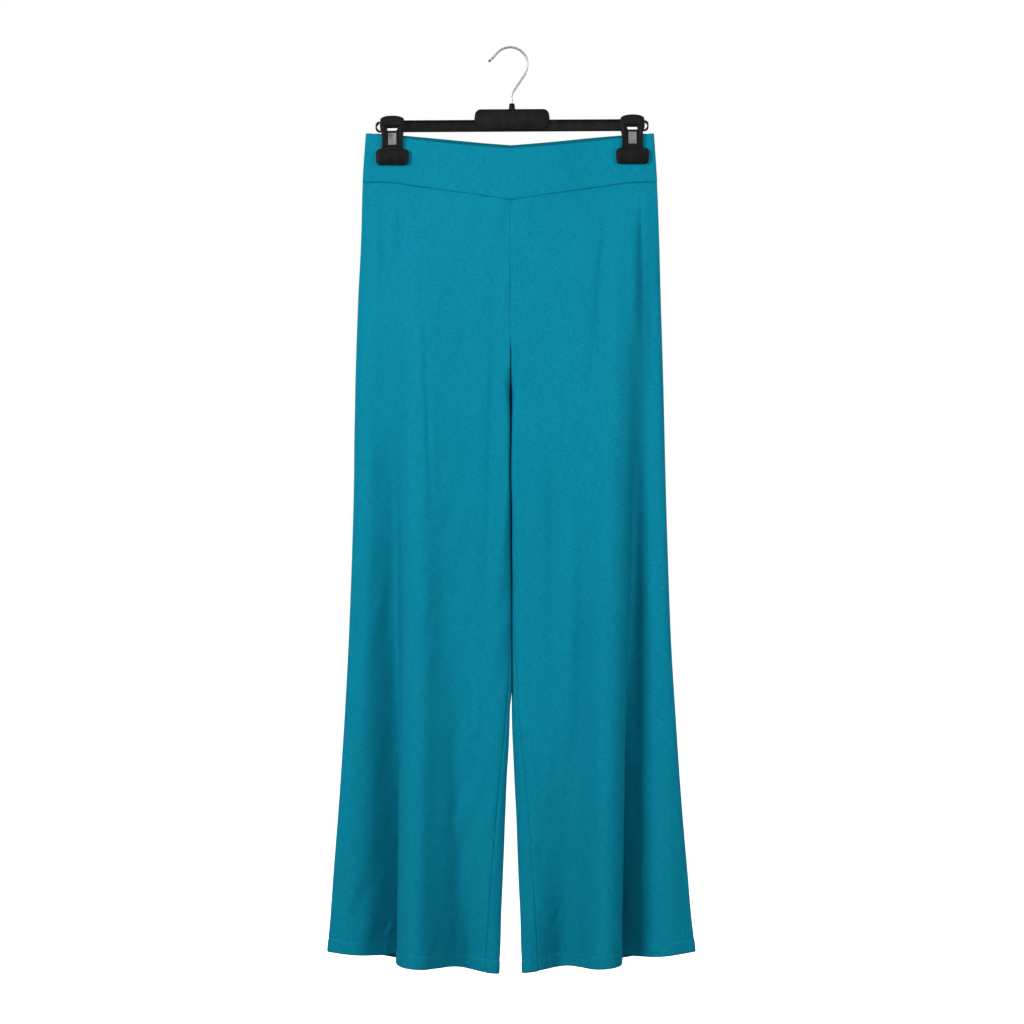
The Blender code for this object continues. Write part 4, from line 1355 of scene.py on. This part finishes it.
@dataclass(frozen=True)
class Waistband:
    """The front or back half of the waistband, a strip folded along its top edge."""

    face: Face
    form: TrouserForm
    columns: int = 170
    rows: int = 22
    round_steps: int = 6
    band_wall: float = 2.6
    layer: float = 1.1
    edge_round: float = 3.2
    seam_roll: float = 0.1
    seam_roll_width: float = 0.9
    edge_stitch: float = 0.5
    edge_stitch_down: float = 1.6
    edge_stitch_width: float = 0.8
    wave: float = 0.35
    wave_end: float = 30.0
    wave_rise: float = 40.0
    end_depth: float = 0.42
    crowding: float = 0.45

    @property
    def node(self) -> str:
        """The name of the solid that the piece stands for."""
        return f"waistband_{self.face.word}"

    def middle_surface(self) -> tuple[np.ndarray, np.ndarray]:
        """Points of the band's middle surface, from its foot up to its top, and flat places."""
        form = self.form
        points = np.zeros((self.rows + 1, self.columns + 1, 3))
        ways = np.sin(np.linspace(-math.pi / 2, math.pi / 2, self.columns + 1))
        ways = self.crowding * ways + (1 - self.crowding) * np.linspace(-1, 1, self.columns + 1)
        for c, way in enumerate(ways):
            leg = Leg.LEFT if way < 0 else Leg.RIGHT
            name = leg.word
            top = form.band_top_drop(
                self.face, abs(way) * float(form.sections.at(name, form.band_top_side)))
            foot = float(form.yoke_drop(abs(way) * float(form.sections.at(name, form.yoke_side))))
            top += (self.band_wall - self.layer) / 2
            drops = foot + (top - foot) * np.linspace(0, 1, self.rows + 1)
            x = form.middle_x + way * form.sections.at(name, drops)
            _, across, y, _ = form.face_points(leg, self.face, drops, self.band_wall)
            for r, drop in enumerate(drops):
                depth = np.interp(-abs(x[r] - form.middle_x), -across[r, :-1], y[r, :-1])
                points[r, c] = (x[r], depth, -drop)
        flat = np.dstack([points[..., 0], -points[..., 2]])
        return points, flat

    def build(self, finishes: Finishes) -> bpy.types.Object:
        """Args:
            finishes: The materials.

        Returns:
            The new object.
        """
        middle, flat = self.middle_surface()
        outward = grid_normals(middle) * -self.face.value
        outward *= np.sign(outward[..., 1:2] * self.face.value)
        half = (self.band_wall - self.layer) / 2
        from_end = np.minimum(middle[..., 0] - middle[:, :1, 0], middle[:, -1:, 0] - middle[..., 0])
        closing = np.sqrt(1.0 - (1.0 - np.clip(from_end / self.edge_round, 0, 1)) ** 2)
        middle[..., 1] *= self.end_depth + (1.0 - self.end_depth) * closing
        half_here = half * (0.25 + 0.75 * closing)[..., None]
        above_foot = middle[..., 2] - middle[:1, :, 2]
        below_top = middle[-1:, :, 2] - middle[..., 2]
        roll = self.seam_roll * np.exp(-(above_foot / self.seam_roll_width) ** 2)
        roll += self.edge_stitch * np.exp(
            -((below_top - self.edge_stitch_down) / self.edge_stitch_width) ** 2)
        ripple = self.wave * np.sin(flat[..., 0] / 9.0 + 1.4 * np.sin(flat[..., 0] / 31.0))
        ripple = ripple * ease(from_end / self.wave_end)
        ripple = ripple * (0.35 + 0.65 * ease(above_foot / self.wave_rise))
        outer = middle + outward * (half_here + (ripple - roll)[..., None])
        inner = (middle - outward * half_here + outward * ripple[..., None])[::-1]
        crown_middle = (outer[-1] + inner[0]) / 2
        reach = (outer[-1] - inner[0]) / 2
        up = np.array([0.0, 0.0, half])
        turns = np.linspace(0, math.pi, self.round_steps + 2)[1:-1]
        crown = [crown_middle + reach * math.cos(turn) + up * math.sin(turn) for turn in turns]
        points = np.concatenate([outer, np.array(crown), inner])
        down = np.cumsum(np.linalg.norm(np.diff(points, axis=0), axis=2), axis=0)
        down = np.vstack([np.zeros((1, points.shape[1])), down])
        laid = np.dstack([points[..., 0], -down])
        strip = cloth_piece(f"cloth_{self.node}", points, laid, self.layer,
                            self.face is Face.FRONT, finishes.knit, [self.node])
        # The band's inner layer wears the darker knit: painted shade for the shadow inside the
        # band.
        strip.data.materials.append(finishes.knit_inside)
        first_inside = len(outer) + self.round_steps // 2
        rows = np.array([face.index // self.columns for face in strip.data.polygons])
        strip.data.polygons.foreach_set("material_index", (rows >= first_inside).astype(np.int32))
        side = self.face.word
        return strip


# ---- Hanger ---------------------------------------------------------------------------------

@dataclass(frozen=True)
class HangerSizes:
    """Sizes that the hanger's pieces share, as in the solid model."""

    tilt: float = math.radians(0.3)
    stem_x: float = 2.0
    wire_radius: float = 1.35
    bar_top: float = 89.8
    bar_bottom: float = 103.8
    bar_depth: float = 8.0
    bar_half: float = 138.5
    plate_top: float = 76.6

    def tilted(self, bm: bmesh.types.BMesh) -> bmesh.types.BMesh:
        """Turn a piece about the origin as the whole hanger hangs."""
        turn = Matrix.Rotation(-self.tilt, 3, "Y")
        bmesh.ops.rotate(bm, verts=bm.verts, cent=Vector(), matrix=turn)
        return bm

    def piece(self, name: str, bm: bmesh.types.BMesh, material: bpy.types.Material, slot: Slot,
              node: str) -> bpy.types.Object:
        """Tilt and shade a shape, and make it a piece that stands for a solid."""
        return mesh_piece(name, shade_by_angle(self.tilted(bm)), material, slot, [node])


Span = tuple[float, float]


def soften(bm: bmesh.types.BMesh, edges: Iterable[bmesh.types.BMEdge], width: float,
           segments: int = 2, clamp: bool = False) -> None:
    """Round some edges off."""
    bmesh.ops.bevel(bm, geom=list(edges), offset=width * MM, offset_type="OFFSET",
                    segments=segments, profile=0.5, affect="EDGES", material=-1,
                    clamp_overlap=clamp)


def sharp_edges(bm: bmesh.types.BMesh) -> list[bmesh.types.BMEdge]:
    """The edges that bend by more than 50 degrees."""
    return [edge for edge in bm.edges if edge.calc_face_angle(0.0) > SHARP]


def add_plate(bm: bmesh.types.BMesh, outline: Sequence[tuple[float, float]],
              corners: Sequence[float], y_from: float, y_to: float,
              hole: tuple[float, float, float, float] | None = None, hole_cut: float = 0.5,
              rim: float = 0.0, rim_depth: float = 0.0, bevel: float = 0.35) -> None:
    """Add a flat moulded plate that stands in the XZ plane.

    Args:
        bm: The mesh to add to.
        outline: Corners as (x, drop), in millimetres.
        corners: How far each corner is rounded.
        y_from: The plate's rear face.
        y_to: The plate's visible face.
        hole: A window as (x low, x high, drop low, drop high), or None.
        hole_cut: How far the window's corners are cut off.
        rim: Width of a raised rim round the visible face, or 0.
        rim_depth: How far the field inside the rim is sunk.
        bevel: Width of the softened edges.
    """
    work = bmesh.new()
    verts = [work.verts.new((x * MM, y_from * MM, -drop * MM)) for x, drop in outline]
    work.faces.new(verts)
    for vert, corner in zip(verts, corners):
        if corner > 0:
            bmesh.ops.bevel(work, geom=[vert], offset=corner * MM, offset_type="OFFSET", segments=6,
                            profile=0.5, affect="VERTICES", material=-1)
    if hole is not None:
        x_low, x_high, top, foot = hole
        outer = list(work.edges)
        bmesh.ops.delete(work, geom=list(work.faces), context="FACES_ONLY")
        cut = hole_cut
        window = [work.verts.new((x * MM, y_from * MM, -drop * MM)) for x, drop in (
            (x_low + cut, top), (x_high - cut, top), (x_high, top + cut), (x_high, foot - cut),
            (x_high - cut, foot), (x_low + cut, foot), (x_low, foot - cut), (x_low, top + cut))]
        inner = [work.edges.new(pair) for pair in zip(window, window[1:] + window[:1])]
        bmesh.ops.triangle_fill(work, use_beauty=True, use_dissolve=False, edges=outer + inner,
                                normal=(0.0, -1.0, 0.0))
    depth = Vector((0.0, (y_to - y_from) * MM, 0.0))
    raised = bmesh.ops.extrude_face_region(work, geom=list(work.faces))["geom"]
    bmesh.ops.translate(work, vec=depth,
                        verts=[item for item in raised if isinstance(item, bmesh.types.BMVert)])
    bmesh.ops.recalc_face_normals(work, faces=work.faces)
    soften(work, sharp_edges(work), bevel, clamp=True)
    if rim > 0:
        level = y_to * MM
        field_faces = [f for f in work.faces
                       if all(abs(v.co.y - level) < 1e-6 for v in f.verts)]
        bmesh.ops.inset_region(work, faces=field_faces, thickness=rim * MM, depth=0.0,
                               use_even_offset=True)
        bmesh.ops.inset_region(work, faces=field_faces, thickness=0.25 * MM,
                               depth=-rim_depth * MM, use_even_offset=True)
    shape = to_mesh("plate", work)
    bm.from_mesh(shape)
    bpy.data.meshes.remove(shape)


def add_block(bm: bmesh.types.BMesh, x: Span, y: Span, drop: Span, bevel: float) -> None:
    """Add a block with softened edges that fills three spans, given in millimetres.

    Args:
        bm: The mesh to add to.
        x: Its span along X.
        y: Its span along Y.
        drop: Its span of drops.
        bevel: Width of the softened edges.
    """
    low = Vector((min(x), min(y), -max(drop)))
    high = Vector((max(x), max(y), -min(drop)))
    place = Matrix.Translation((low + high) / 2 * MM) @ Matrix.Diagonal((*(high - low), 1.0))
    made = bmesh.ops.create_cube(bm, size=MM, matrix=place)
    soften(bm, {edge for vert in made["verts"] for edge in vert.link_edges}, bevel)


def shade_by_angle(bm: bmesh.types.BMesh, degrees: float = 38.0) -> bmesh.types.BMesh:
    """Shade a shape smooth, but keep its edges sharper than an angle."""
    shade_smooth(bm)
    for edge in bm.edges:
        edge.smooth = edge.calc_face_angle(0.0) < math.radians(degrees)
    return bm


@dataclass(frozen=True)
class WireHook:
    """The bent wire hook."""

    sizes: HangerSizes
    radius: float = 22.0
    tip_run: float = 13.0
    tip_angle: float = math.radians(140)
    leave_angle: float = math.radians(-33.5)
    stem_top: float = 52.5
    stem_straight: float = 62.0
    stem_end: float = 88.0
    sides: int = 20
    cut_reach: float = 1.7

    def path(self) -> np.ndarray:
        """Middle line of the wire as (x, drop), from its tip to the end of its stem."""
        sweep = np.linspace(self.tip_angle, self.leave_angle, 64)
        centre_drop = self.radius - self.sizes.wire_radius
        arc = np.column_stack([self.radius * np.cos(sweep),
                               centre_drop - self.radius * np.sin(sweep)])
        way = np.array([-math.sin(self.tip_angle), -math.cos(self.tip_angle)])
        runs = np.linspace(1.0, 0.0, 9)[:-1]
        tip = arc[0] + way * (self.tip_run * runs)[:, None]
        tip += np.array([-0.9, -0.5]) * (ease(runs * 2 - 1))[:, None]
        stem_x = self.sizes.stem_x
        slant_end = np.array([stem_x + 3.0, self.stem_top])
        knee = np.array([stem_x + 0.2, self.stem_top + 4.4])
        straight = np.array([stem_x, self.stem_straight])
        slant = arc[-1] + (slant_end - arc[-1]) * np.linspace(0, 1, 10)[1:-1, None]
        t = np.linspace(0.0, 1.0, 14)[:, None]
        turn = (1 - t) ** 2 * slant_end + 2 * t * (1 - t) * knee + t ** 2 * straight
        stem = straight + (np.array([stem_x, self.stem_end]) - straight) * np.array([[0.5], [1.0]])
        line = np.vstack([tip, arc, slant, turn, stem])
        for _ in range(3):
            line[1:-1] = (line[:-2] + 2 * line[1:-1] + line[2:]) / 4
        return line

    def build(self, finishes: Finishes) -> bpy.types.Object:
        """Sweep a ring along the wire's path, round the tip and cap both ends.

        Args:
            finishes: The materials.

        Returns:
            The new object.
        """
        path = self.path()
        ways = np.gradient(path, axis=0)
        first = ways[0] / np.linalg.norm(ways[0])
        rings = [(path[0] - first * (1.0 - back), ways[0], share)
                 for back, share in ((0.0, 0.30), (0.25, 0.72), (0.7, 0.95))]
        rings += [(point, way, 1.0) for point, way in zip(path, ways)]
        bm = bmesh.new()
        ring_edges: list[bmesh.types.BMEdge] = []
        before = Matrix.Identity(4)
        level = Vector((0.0, 1.0, 0.0))
        for (x, drop), (way_x, way_drop), share in rings:
            along = Vector((way_x, 0.0, -way_drop)).normalized()
            turn = Matrix((level.cross(along), level, along)).transposed().to_4x4()
            grow = self.sizes.wire_radius * share * MM
            here = Matrix.Translation((x * MM, 0.0, -drop * MM)) @ turn @ Matrix.Diagonal(
                (grow, grow, grow, 1.0))
            if not ring_edges:
                made = bmesh.ops.create_circle(bm, cap_ends=True, segments=self.sides, radius=1.0,
                                               matrix=here)
                ring_edges = list({e for v in made["verts"] for e in v.link_edges})
            else:
                made = bmesh.ops.extrude_edge_only(bm, edges=ring_edges)["geom"]
                verts = [item for item in made if isinstance(item, bmesh.types.BMVert)]
                bmesh.ops.transform(bm, verts=verts, matrix=here @ before.inverted())
                ring_edges = [item for item in made if isinstance(item, bmesh.types.BMEdge)
                              and all(v in set(verts) for v in item.verts)]
            before = here
        bmesh.ops.contextual_create(bm, geom=ring_edges)
        bmesh.ops.recalc_face_normals(bm, faces=bm.faces)
        tip = Vector((path[0][0] * MM, 0.0, -path[0][1] * MM))
        shade_smooth(bm)
        for face in bm.faces:
            near = (face.calc_center_median() - tip).length < self.cut_reach * MM
            face.material_index = 1 if near else 0
        hook = mesh_piece("wire_hook", self.sizes.tilted(bm), finishes.chrome, Slot.CHROME,
                          ["hanger_hook"])
        hook.data.materials.append(finishes.wire_end)
        return hook


@dataclass(frozen=True)
class HangerBeam:
    """The moulded beam with its flanges, centre plate, boss and end loops."""

    sizes: HangerSizes
    flange: float = 2.0
    flange_slope: float = 0.3
    web: float = 3.0
    plate_depth: float = 10.4
    plate_top_half: float = 45.6
    plate_waist_half: float = 47.4
    plate_foot_half: float = 41.0
    plate_corner: float = 6.8
    plate_step: float = 0.9
    tablet_sunk: float = 1.4
    boss_top: float = 69.2
    boss_top_radius: float = 3.4
    boss_foot_radius: float = 4.6
    loop_depth: float = 6.0
    loop_rail: float = 1.9
    loop_corner: float = 5.2
    loop_half: float = 170.7
    loop_solid: float = 6.0
    edge: float = 0.35
    boss_round: float = 0.7
    rib_half: float = 0.6
    rib_from: float = 2.0
    rib_to: float = 4.7
    rib_below_top: float = 1.6
    tablet_share: float = 0.955
    tablet_inset: float = 1.5

    def bar(self) -> bmesh.types.BMesh:
        """A long block whose front and back are sunk between two flanges."""
        s = self.sizes
        bm = bmesh.new()
        size = Vector((s.bar_half * 2, s.bar_depth, s.bar_bottom - s.bar_top)) * MM
        middle = Vector((s.stem_x, 0.0, -(s.bar_top + s.bar_bottom) / 2)) * MM
        bmesh.ops.create_cube(bm, size=1.0, matrix=Matrix.Translation(middle) @ Matrix.Diagonal(
            (*size, 1.0)))
        for face in [face for face in bm.faces if abs(face.normal.y) > 0.9]:
            bmesh.ops.inset_individual(bm, faces=[face], thickness=self.flange * MM, depth=0.0)
            bmesh.ops.inset_individual(bm, faces=[face], thickness=self.flange_slope * MM,
                                       depth=-(s.bar_depth - self.web) / 2 * MM)
        soften(bm, sharp_edges(bm), self.edge)
        return bm

    def plate(self) -> bmesh.types.BMesh:
        """The centre plate, a raised tablet on each side of the bar with a moulded step."""
        s = self.sizes
        bm = bmesh.new()
        top, waist, foot = s.plate_top, s.bar_top + 0.6, s.bar_bottom - 1.0
        for sign in (-1.0, 1.0):
            outline = [
                (s.stem_x - self.plate_top_half, top), (s.stem_x + self.plate_top_half, top),
                (s.stem_x + self.plate_waist_half, waist), (s.stem_x + self.plate_foot_half, foot),
                (s.stem_x - self.plate_foot_half, foot), (s.stem_x - self.plate_waist_half, waist)]
            corner = self.plate_corner
            add_plate(bm, outline, [corner, corner, 2.0, 1.0, 1.0, 2.0], 0.0,
                      sign * (self.plate_depth / 2 - self.plate_step), bevel=0.4)
            shrunk = [(s.stem_x + (x - s.stem_x) * self.tablet_share,
                       drop + (self.tablet_inset if drop == top else 0.0)) for x, drop in outline]
            add_plate(bm, shrunk, [corner - 1, corner - 1, 2.0, 1.0, 1.0, 2.0],
                      sign * (self.plate_depth / 2 - self.tablet_sunk),
                      sign * self.plate_depth / 2, bevel=0.7)
        return bm

    def boss(self) -> bmesh.types.BMesh:
        """The tapered socket that the hook turns in, with a rib in front of it and one behind it.
        """
        s = self.sizes
        bm = bmesh.new()
        height = s.plate_top + 2.0 - self.boss_top
        place = Matrix.Translation(Vector((s.stem_x, 0.0, -(self.boss_top + height / 2))) * MM)
        bmesh.ops.create_cone(
            bm, cap_ends=True, segments=40, radius1=self.boss_foot_radius * MM,
            radius2=self.boss_top_radius * MM, depth=height * MM, matrix=place)
        soften(bm, sharp_edges(bm), self.boss_round, 3)
        for way in (-1.0, 1.0):
            add_block(bm, (s.stem_x - self.rib_half, s.stem_x + self.rib_half),
                      (way * self.rib_from, way * self.rib_to),
                      (self.boss_top + self.rib_below_top, s.plate_top + 1.0), 0.3)
        return bm

    def end_loop(self, sign: float) -> bmesh.types.BMesh:
        """The open loop that keeps a clip from sliding off one end.

        Args:
            sign: The side along X, -1 or 1.

        Returns:
            The shape, in place.
        """
        s = self.sizes
        outer, inner = s.stem_x + sign * self.loop_half, s.stem_x + sign * (s.bar_half - 2.5)
        top, foot = s.bar_top + 1.2, s.bar_bottom + 0.6
        low, high = min(outer, inner), max(outer, inner)
        hole_edges = sorted((outer - sign * self.loop_rail, inner + sign * self.loop_solid))
        turn = self.loop_corner
        corners = [turn, 0.0, 0.0, turn] if sign < 0 else [0.0, turn, turn, 0.0]
        bm = bmesh.new()
        add_plate(bm, [(low, top), (high, top), (high, foot), (low, foot)], corners,
                  self.loop_depth / 2, -self.loop_depth / 2,
                  hole=(*hole_edges, top + self.loop_rail, foot - self.loop_rail),
                  hole_cut=self.loop_corner - self.loop_rail, bevel=0.45)
        return bm

    def build(self, finishes: Finishes) -> list[bpy.types.Object]:
        """Build the beam's pieces.

        Args:
            finishes: The materials.

        Returns:
            The new objects.
        """
        shapes = {"beam_bar": self.bar(), "beam_centre_plate": self.plate(),
                  "beam_hook_boss": self.boss(), "beam_end_loop_left": self.end_loop(-1.0),
                  "beam_end_loop_right": self.end_loop(1.0)}
        return [self.sizes.piece(name, bm, finishes.plastic, Slot.PLASTIC, "hanger_body")
                for name, bm in shapes.items()]


@dataclass(frozen=True)
class Clip:
    """A sprung clip: two jaws that hang on the bar and a bent steel strip over them."""

    leg: Leg
    across: float
    sizes: HangerSizes
    jaw_inner: float = 4.3
    jaw_wall: float = 2.9
    head_top: float = 84.2
    head_half: float = 15.5
    head_foot: float = 105.5
    arm_half: float = 13.4
    pad_top: float = 126.0
    pad_foot: float = 145.6
    pad_half: float = 21.2
    pad_front: float = 8.4
    pad_inner: float = 3.05
    window_half: float = 6.5
    window_top: float = 98.3
    window_foot: float = 107.4
    spring_half: float = 5.1
    spring_wall: float = 0.8
    spring_top: float = 104.9
    spring_foot: float = 120.6
    spring_bend: float = 1.8
    spring_rim: float = 1.5
    spring_slope: float = 0.8
    spring_sunk: float = 0.3
    pad_taper: float = 1.5
    tablet_share: float = 0.86
    dome_steps: int = 16
    dome_rise: float = 6.0
    dome_power: float = 0.8
    head_taper: float = 0.6
    arm_flare: float = 1.4
    back: float = 4.6
    rail_half: float = 1.5
    rail_inset: float = 2.6
    rib_half: float = 0.9
    rib_inset: float = 3.6
    foot_rib_half: float = 1.1
    foot_rib_across: float = 3.4
    grip_steps: int = 12
    grip_inset: float = 2.2
    grip_foot_half: float = 6.0
    grip_foot: float = 13.2
    grip_rise: float = 6.2

    @property
    def name(self) -> str:
        """The clip's name."""
        return f"clip_{self.leg.word}"

    def jaw(self, face: Face) -> bmesh.types.BMesh:
        """One jaw's lever: domed head, window, side rails and the ribs over the pad.

        Args:
            face: The side of the bar that it hangs on.

        Returns:
            The shape, in place.
        """
        x, sign = self.across, face.value
        angles = [math.pi * (1 - step / self.dome_steps) for step in range(self.dome_steps + 1)]
        dome = [(x + self.head_half * math.cos(angle) * 0.97, self.head_top + self.dome_rise
                 - self.dome_rise * math.sin(angle) ** self.dome_power) for angle in angles]
        right = [(self.head_half, self.head_top + 12),
                 (self.head_half - self.head_taper, self.head_foot - 3),
                 (self.arm_half, self.head_foot),
                 (self.arm_half - self.head_taper, self.pad_top - 4),
                 (self.arm_half + self.arm_flare, self.pad_top + 3)]
        outline = dome + [(x + a, d) for a, d in right] + [(x - a, d) for a, d in reversed(right)]
        rounds = [1.5, 1.5, 1.2, 2.0, 0.0]
        corners = [0.0] * len(dome) + rounds + rounds[::-1]
        outer = self.jaw_inner + self.jaw_wall
        bm = bmesh.new()
        add_plate(bm, outline, corners, sign * self.jaw_inner, sign * (outer - 0.7),
                  hole=(x - self.window_half, x + self.window_half, self.window_top,
                        self.spring_foot + 0.3), bevel=0.45)
        self.add_head_grip(bm, x, sign, outer)
        back = sign * self.back
        for way in (-1.0, 1.0):
            rail = x + way * (self.arm_half - self.rail_inset)
            rib = rail - way * self.rib_inset
            foot_rib = x + way * self.foot_rib_across
            for middle, half, face_y, top, foot, bevel in (
                    (rail, self.rail_half, outer + 0.2, self.window_top + 1.0, 2.0, 0.5),
                    (rib, self.rib_half, outer, self.window_foot + 1.5, 1.5, 0.35),
                    (foot_rib, self.foot_rib_half, outer - 0.1, self.spring_foot + 1.0, 1.0, 0.35)):
                add_block(bm, (middle - half, middle + half), (back, sign * face_y),
                          (top, self.pad_top + foot), bevel)
        window = (x - self.window_half - 0.5, x + self.window_half + 0.5)
        add_block(bm, window, (sign * 4.5, sign * (outer - 0.3)),
                  (self.window_foot - 4.2, self.spring_top - 0.1), 0.3)
        add_block(bm, window, (sign * 4.4, sign * 4.9),
                  (self.spring_top, self.spring_foot + 1.0), 0.1)
        return bm

    def add_head_grip(self, bm: bmesh.types.BMesh, x: float, sign: float, outer: float) -> None:
        """Add the raised lip that follows the head's dome, for the thumb.

        Args:
            bm: The jaw's mesh.
            x: The clip's middle.
            sign: The jaw's side along Y.
            outer: The lever's outer face.
        """
        top, steps = self.head_top, self.grip_steps
        angles = [math.pi * (0.94 - 0.88 * step / steps) for step in range(steps + 1)]
        outline = [(x + self.head_half * 0.94 * math.cos(angle),
                    top + 7.0 - self.grip_rise * math.sin(angle) ** self.dome_power)
                   for angle in angles]
        right = [(self.head_half - self.grip_inset, top + 11.5),
                 (self.grip_foot_half, top + self.grip_foot)]
        outline += [(x + a, d) for a, d in right] + [(x - a, d) for a, d in reversed(right)]
        corners = [0.0] * len(angles) + [1.5, 2.5, 2.5, 1.5]
        add_plate(bm, outline, corners, sign * (outer - 1.2), sign * (outer + 0.3),
                  rim=1.5, rim_depth=0.55, bevel=0.5)

    def pad(self, face: Face) -> bmesh.types.BMesh:
        """The wide pad that presses on the waistband.

        Args:
            face: The side of the bar that its jaw hangs on.

        Returns:
            The shape, in place.
        """
        x, sign = self.across, face.value
        foot_half = self.pad_half - self.pad_taper
        outline = [(x - self.pad_half, self.pad_top), (x + self.pad_half, self.pad_top),
                   (x + foot_half, self.pad_foot), (x - foot_half, self.pad_foot)]
        bm = bmesh.new()
        add_plate(bm, outline, [6.0, 6.0, 4.2, 4.2], sign * self.pad_inner,
                  sign * (self.pad_front - 0.5), bevel=1.1)
        shrunk = [(x + (px - x) * self.tablet_share, drop + inset)
                  for (px, drop), inset in zip(outline, (2.6, 2.6, -2.4, -2.4))]
        add_plate(bm, shrunk, [4.5, 4.5, 3.0, 3.0], sign * (self.pad_front - 1.6),
                  sign * self.pad_front, bevel=0.6)
        return bm

    def spring(self) -> bmesh.types.BMesh:
        """The steel strip, bent over the jaws as an inverted U and sunk at its middle."""
        outer = self.jaw_inner + self.jaw_wall - 1.0 + self.spring_wall
        line = [(-outer, self.spring_foot), (-outer, self.spring_top), (outer, self.spring_top),
                (outer, self.spring_foot)]
        bm = bmesh.new()
        verts = [bm.verts.new(Vector((self.across - self.spring_half, y, -drop)) * MM)
                 for y, drop in line]
        edges = [bm.edges.new(pair) for pair in zip(verts, verts[1:])]
        made = bmesh.ops.extrude_edge_only(bm, edges=edges)["geom"]
        bmesh.ops.translate(bm, vec=Vector((self.spring_half * 2 * MM, 0.0, 0.0)),
                            verts=[v for v in made if isinstance(v, bmesh.types.BMVert)])
        soften(bm, sharp_edges(bm), self.spring_bend, 5)
        bmesh.ops.recalc_face_normals(bm, faces=bm.faces)
        for shank in [face for face in bm.faces if abs(face.normal.y) > 0.99]:
            bmesh.ops.inset_individual(bm, faces=[shank], thickness=self.spring_rim * MM,
                                       depth=0.0)
            bmesh.ops.inset_individual(bm, faces=[shank], thickness=self.spring_slope * MM,
                                       depth=-self.spring_sunk * MM)
        bmesh.ops.solidify(bm, geom=list(bm.faces), thickness=self.spring_wall * MM)
        bmesh.ops.recalc_face_normals(bm, faces=bm.faces)
        return bm

    def build(self, finishes: Finishes) -> list[bpy.types.Object]:
        """Build the two jaws with their pads, and the spring.

        Args:
            finishes: The materials.

        Returns:
            The new objects.
        """
        piece = self.sizes.piece
        pieces = [piece(f"{kind}_{self.name}_{face.word}", shape(face), finishes.plastic,
                        Slot.PLASTIC, f"{self.name}_{face.word}_jaw")
                  for face in Face for kind, shape in (("lever", self.jaw), ("pad", self.pad))]
        return pieces + [piece(f"spring_{self.name}", self.spring(), finishes.spring, Slot.SPRING,
                               f"{self.name}_spring")]


# ---- Studio ---------------------------------------------------------------------------------

@dataclass(frozen=True)
class SoftLight:
    """A soft square lamp that is aimed at the trousers."""

    name: str
    place: tuple[float, float, float]
    size: float
    power: float
    aim: tuple[float, float, float] = (0.0, 0.0, -0.42)
    spread: float = math.radians(100)

    def build(self) -> bpy.types.Object:
        """Put the lamp up and aim it."""
        data = bpy.data.lights.new(self.name, "AREA")
        data.shape = "SQUARE"
        data.size = self.size
        data.energy = self.power
        data.spread = self.spread
        lamp = add_object(self.name, data)
        lamp.location = self.place
        lamp.rotation_euler = (Vector(self.aim) - lamp.location).to_track_quat("-Z", "Y").to_euler()
        return lamp


@dataclass(frozen=True)
class Studio:
    """The pale floor, the soft lights and the camera, placed as for the photograph."""

    floor_drop: float = 1.34
    floor_half: float = 14.0
    distance: float = 3.2
    centre_x: float = 0.0024
    centre_drop: float = 0.5796
    view_width: float = 1.28
    sensor: float = 36.0
    surround: float = 0.2
    lights: tuple[SoftLight, ...] = (
        SoftLight("key_light", (-1.9, -2.0, 0.25), 1.0, 19.4),
        SoftLight("fill_light", (2.2, -1.7, 0.2), 1.2, 10.4),
        SoftLight("front_light", (0.0, -2.6, 0.5), 1.0, 4.8),
        SoftLight("rear_key_light", (1.7, 2.1, 0.25), 1.0, 21.0),
        SoftLight("rear_fill_light", (-1.9, 1.9, 0.2), 1.2, 13.0),
    )

    def build(self) -> None:
        """Build the studio round the part."""
        scene = bpy.context.scene
        bm = bmesh.new()
        bmesh.ops.create_grid(bm, x_segments=4, y_segments=4, size=self.floor_half)
        bmesh.ops.translate(bm, verts=bm.verts, vec=Vector((0.0, 0.0, -self.floor_drop)))
        mesh = to_mesh("floor", bm)
        mesh.materials.append(FloorFinish().make())
        floor = add_object("floor", mesh)
        floor.visible_diffuse = False
        floor.visible_glossy = False

        world = bpy.data.worlds.new("studio")
        world.use_nodes = True
        w = Wiring(world.node_tree)
        seen = w.node("ShaderNodeLightPath").outputs["Is Camera Ray"]
        w.fill(world.node_tree.nodes["Background"], Color=(1.0, 1.0, 1.0, 1.0),
               Strength=w.band(seen, 0.0, 1.0, self.surround, 1.0))
        scene.world = world
        for light in self.lights:
            light.build()

        data = bpy.data.cameras.new("camera")
        data.sensor_width = self.sensor
        data.lens = self.sensor * self.distance / self.view_width
        data.clip_end = 60.0
        camera = add_object("camera", data)
        camera.location = (self.centre_x, -self.distance, -self.centre_drop)
        camera.rotation_euler = (math.pi / 2, 0.0, 0.0)
        scene.camera = camera
        scene.view_settings.view_transform = "Standard"
        LOG.info("studio: %d lights", len(self.lights))


# ---- Everything in order --------------------------------------------------------------------


def main() -> None:
    """Build the trousers, the hanger and the studio."""
    logging.basicConfig(level=logging.INFO, format="%(name)s: %(message)s")
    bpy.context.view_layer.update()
    finishes = Finishes.make()
    form = TrouserForm()
    for face in Face:
        Waistband(face, form).build(finishes)
    for leg in Leg:
        for face in Face:
            LegPiece(leg, face, form).build(finishes)
    sizes = HangerSizes()
    WireHook(sizes).build(finishes)
    HangerBeam(sizes).build(finishes)
    for leg, across in ((Leg.LEFT, -147.6), (Leg.RIGHT, 152.2)):
        Clip(leg, across, sizes).build(finishes)
    Studio().build()
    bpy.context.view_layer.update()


if __name__ == "__main__":
    main()
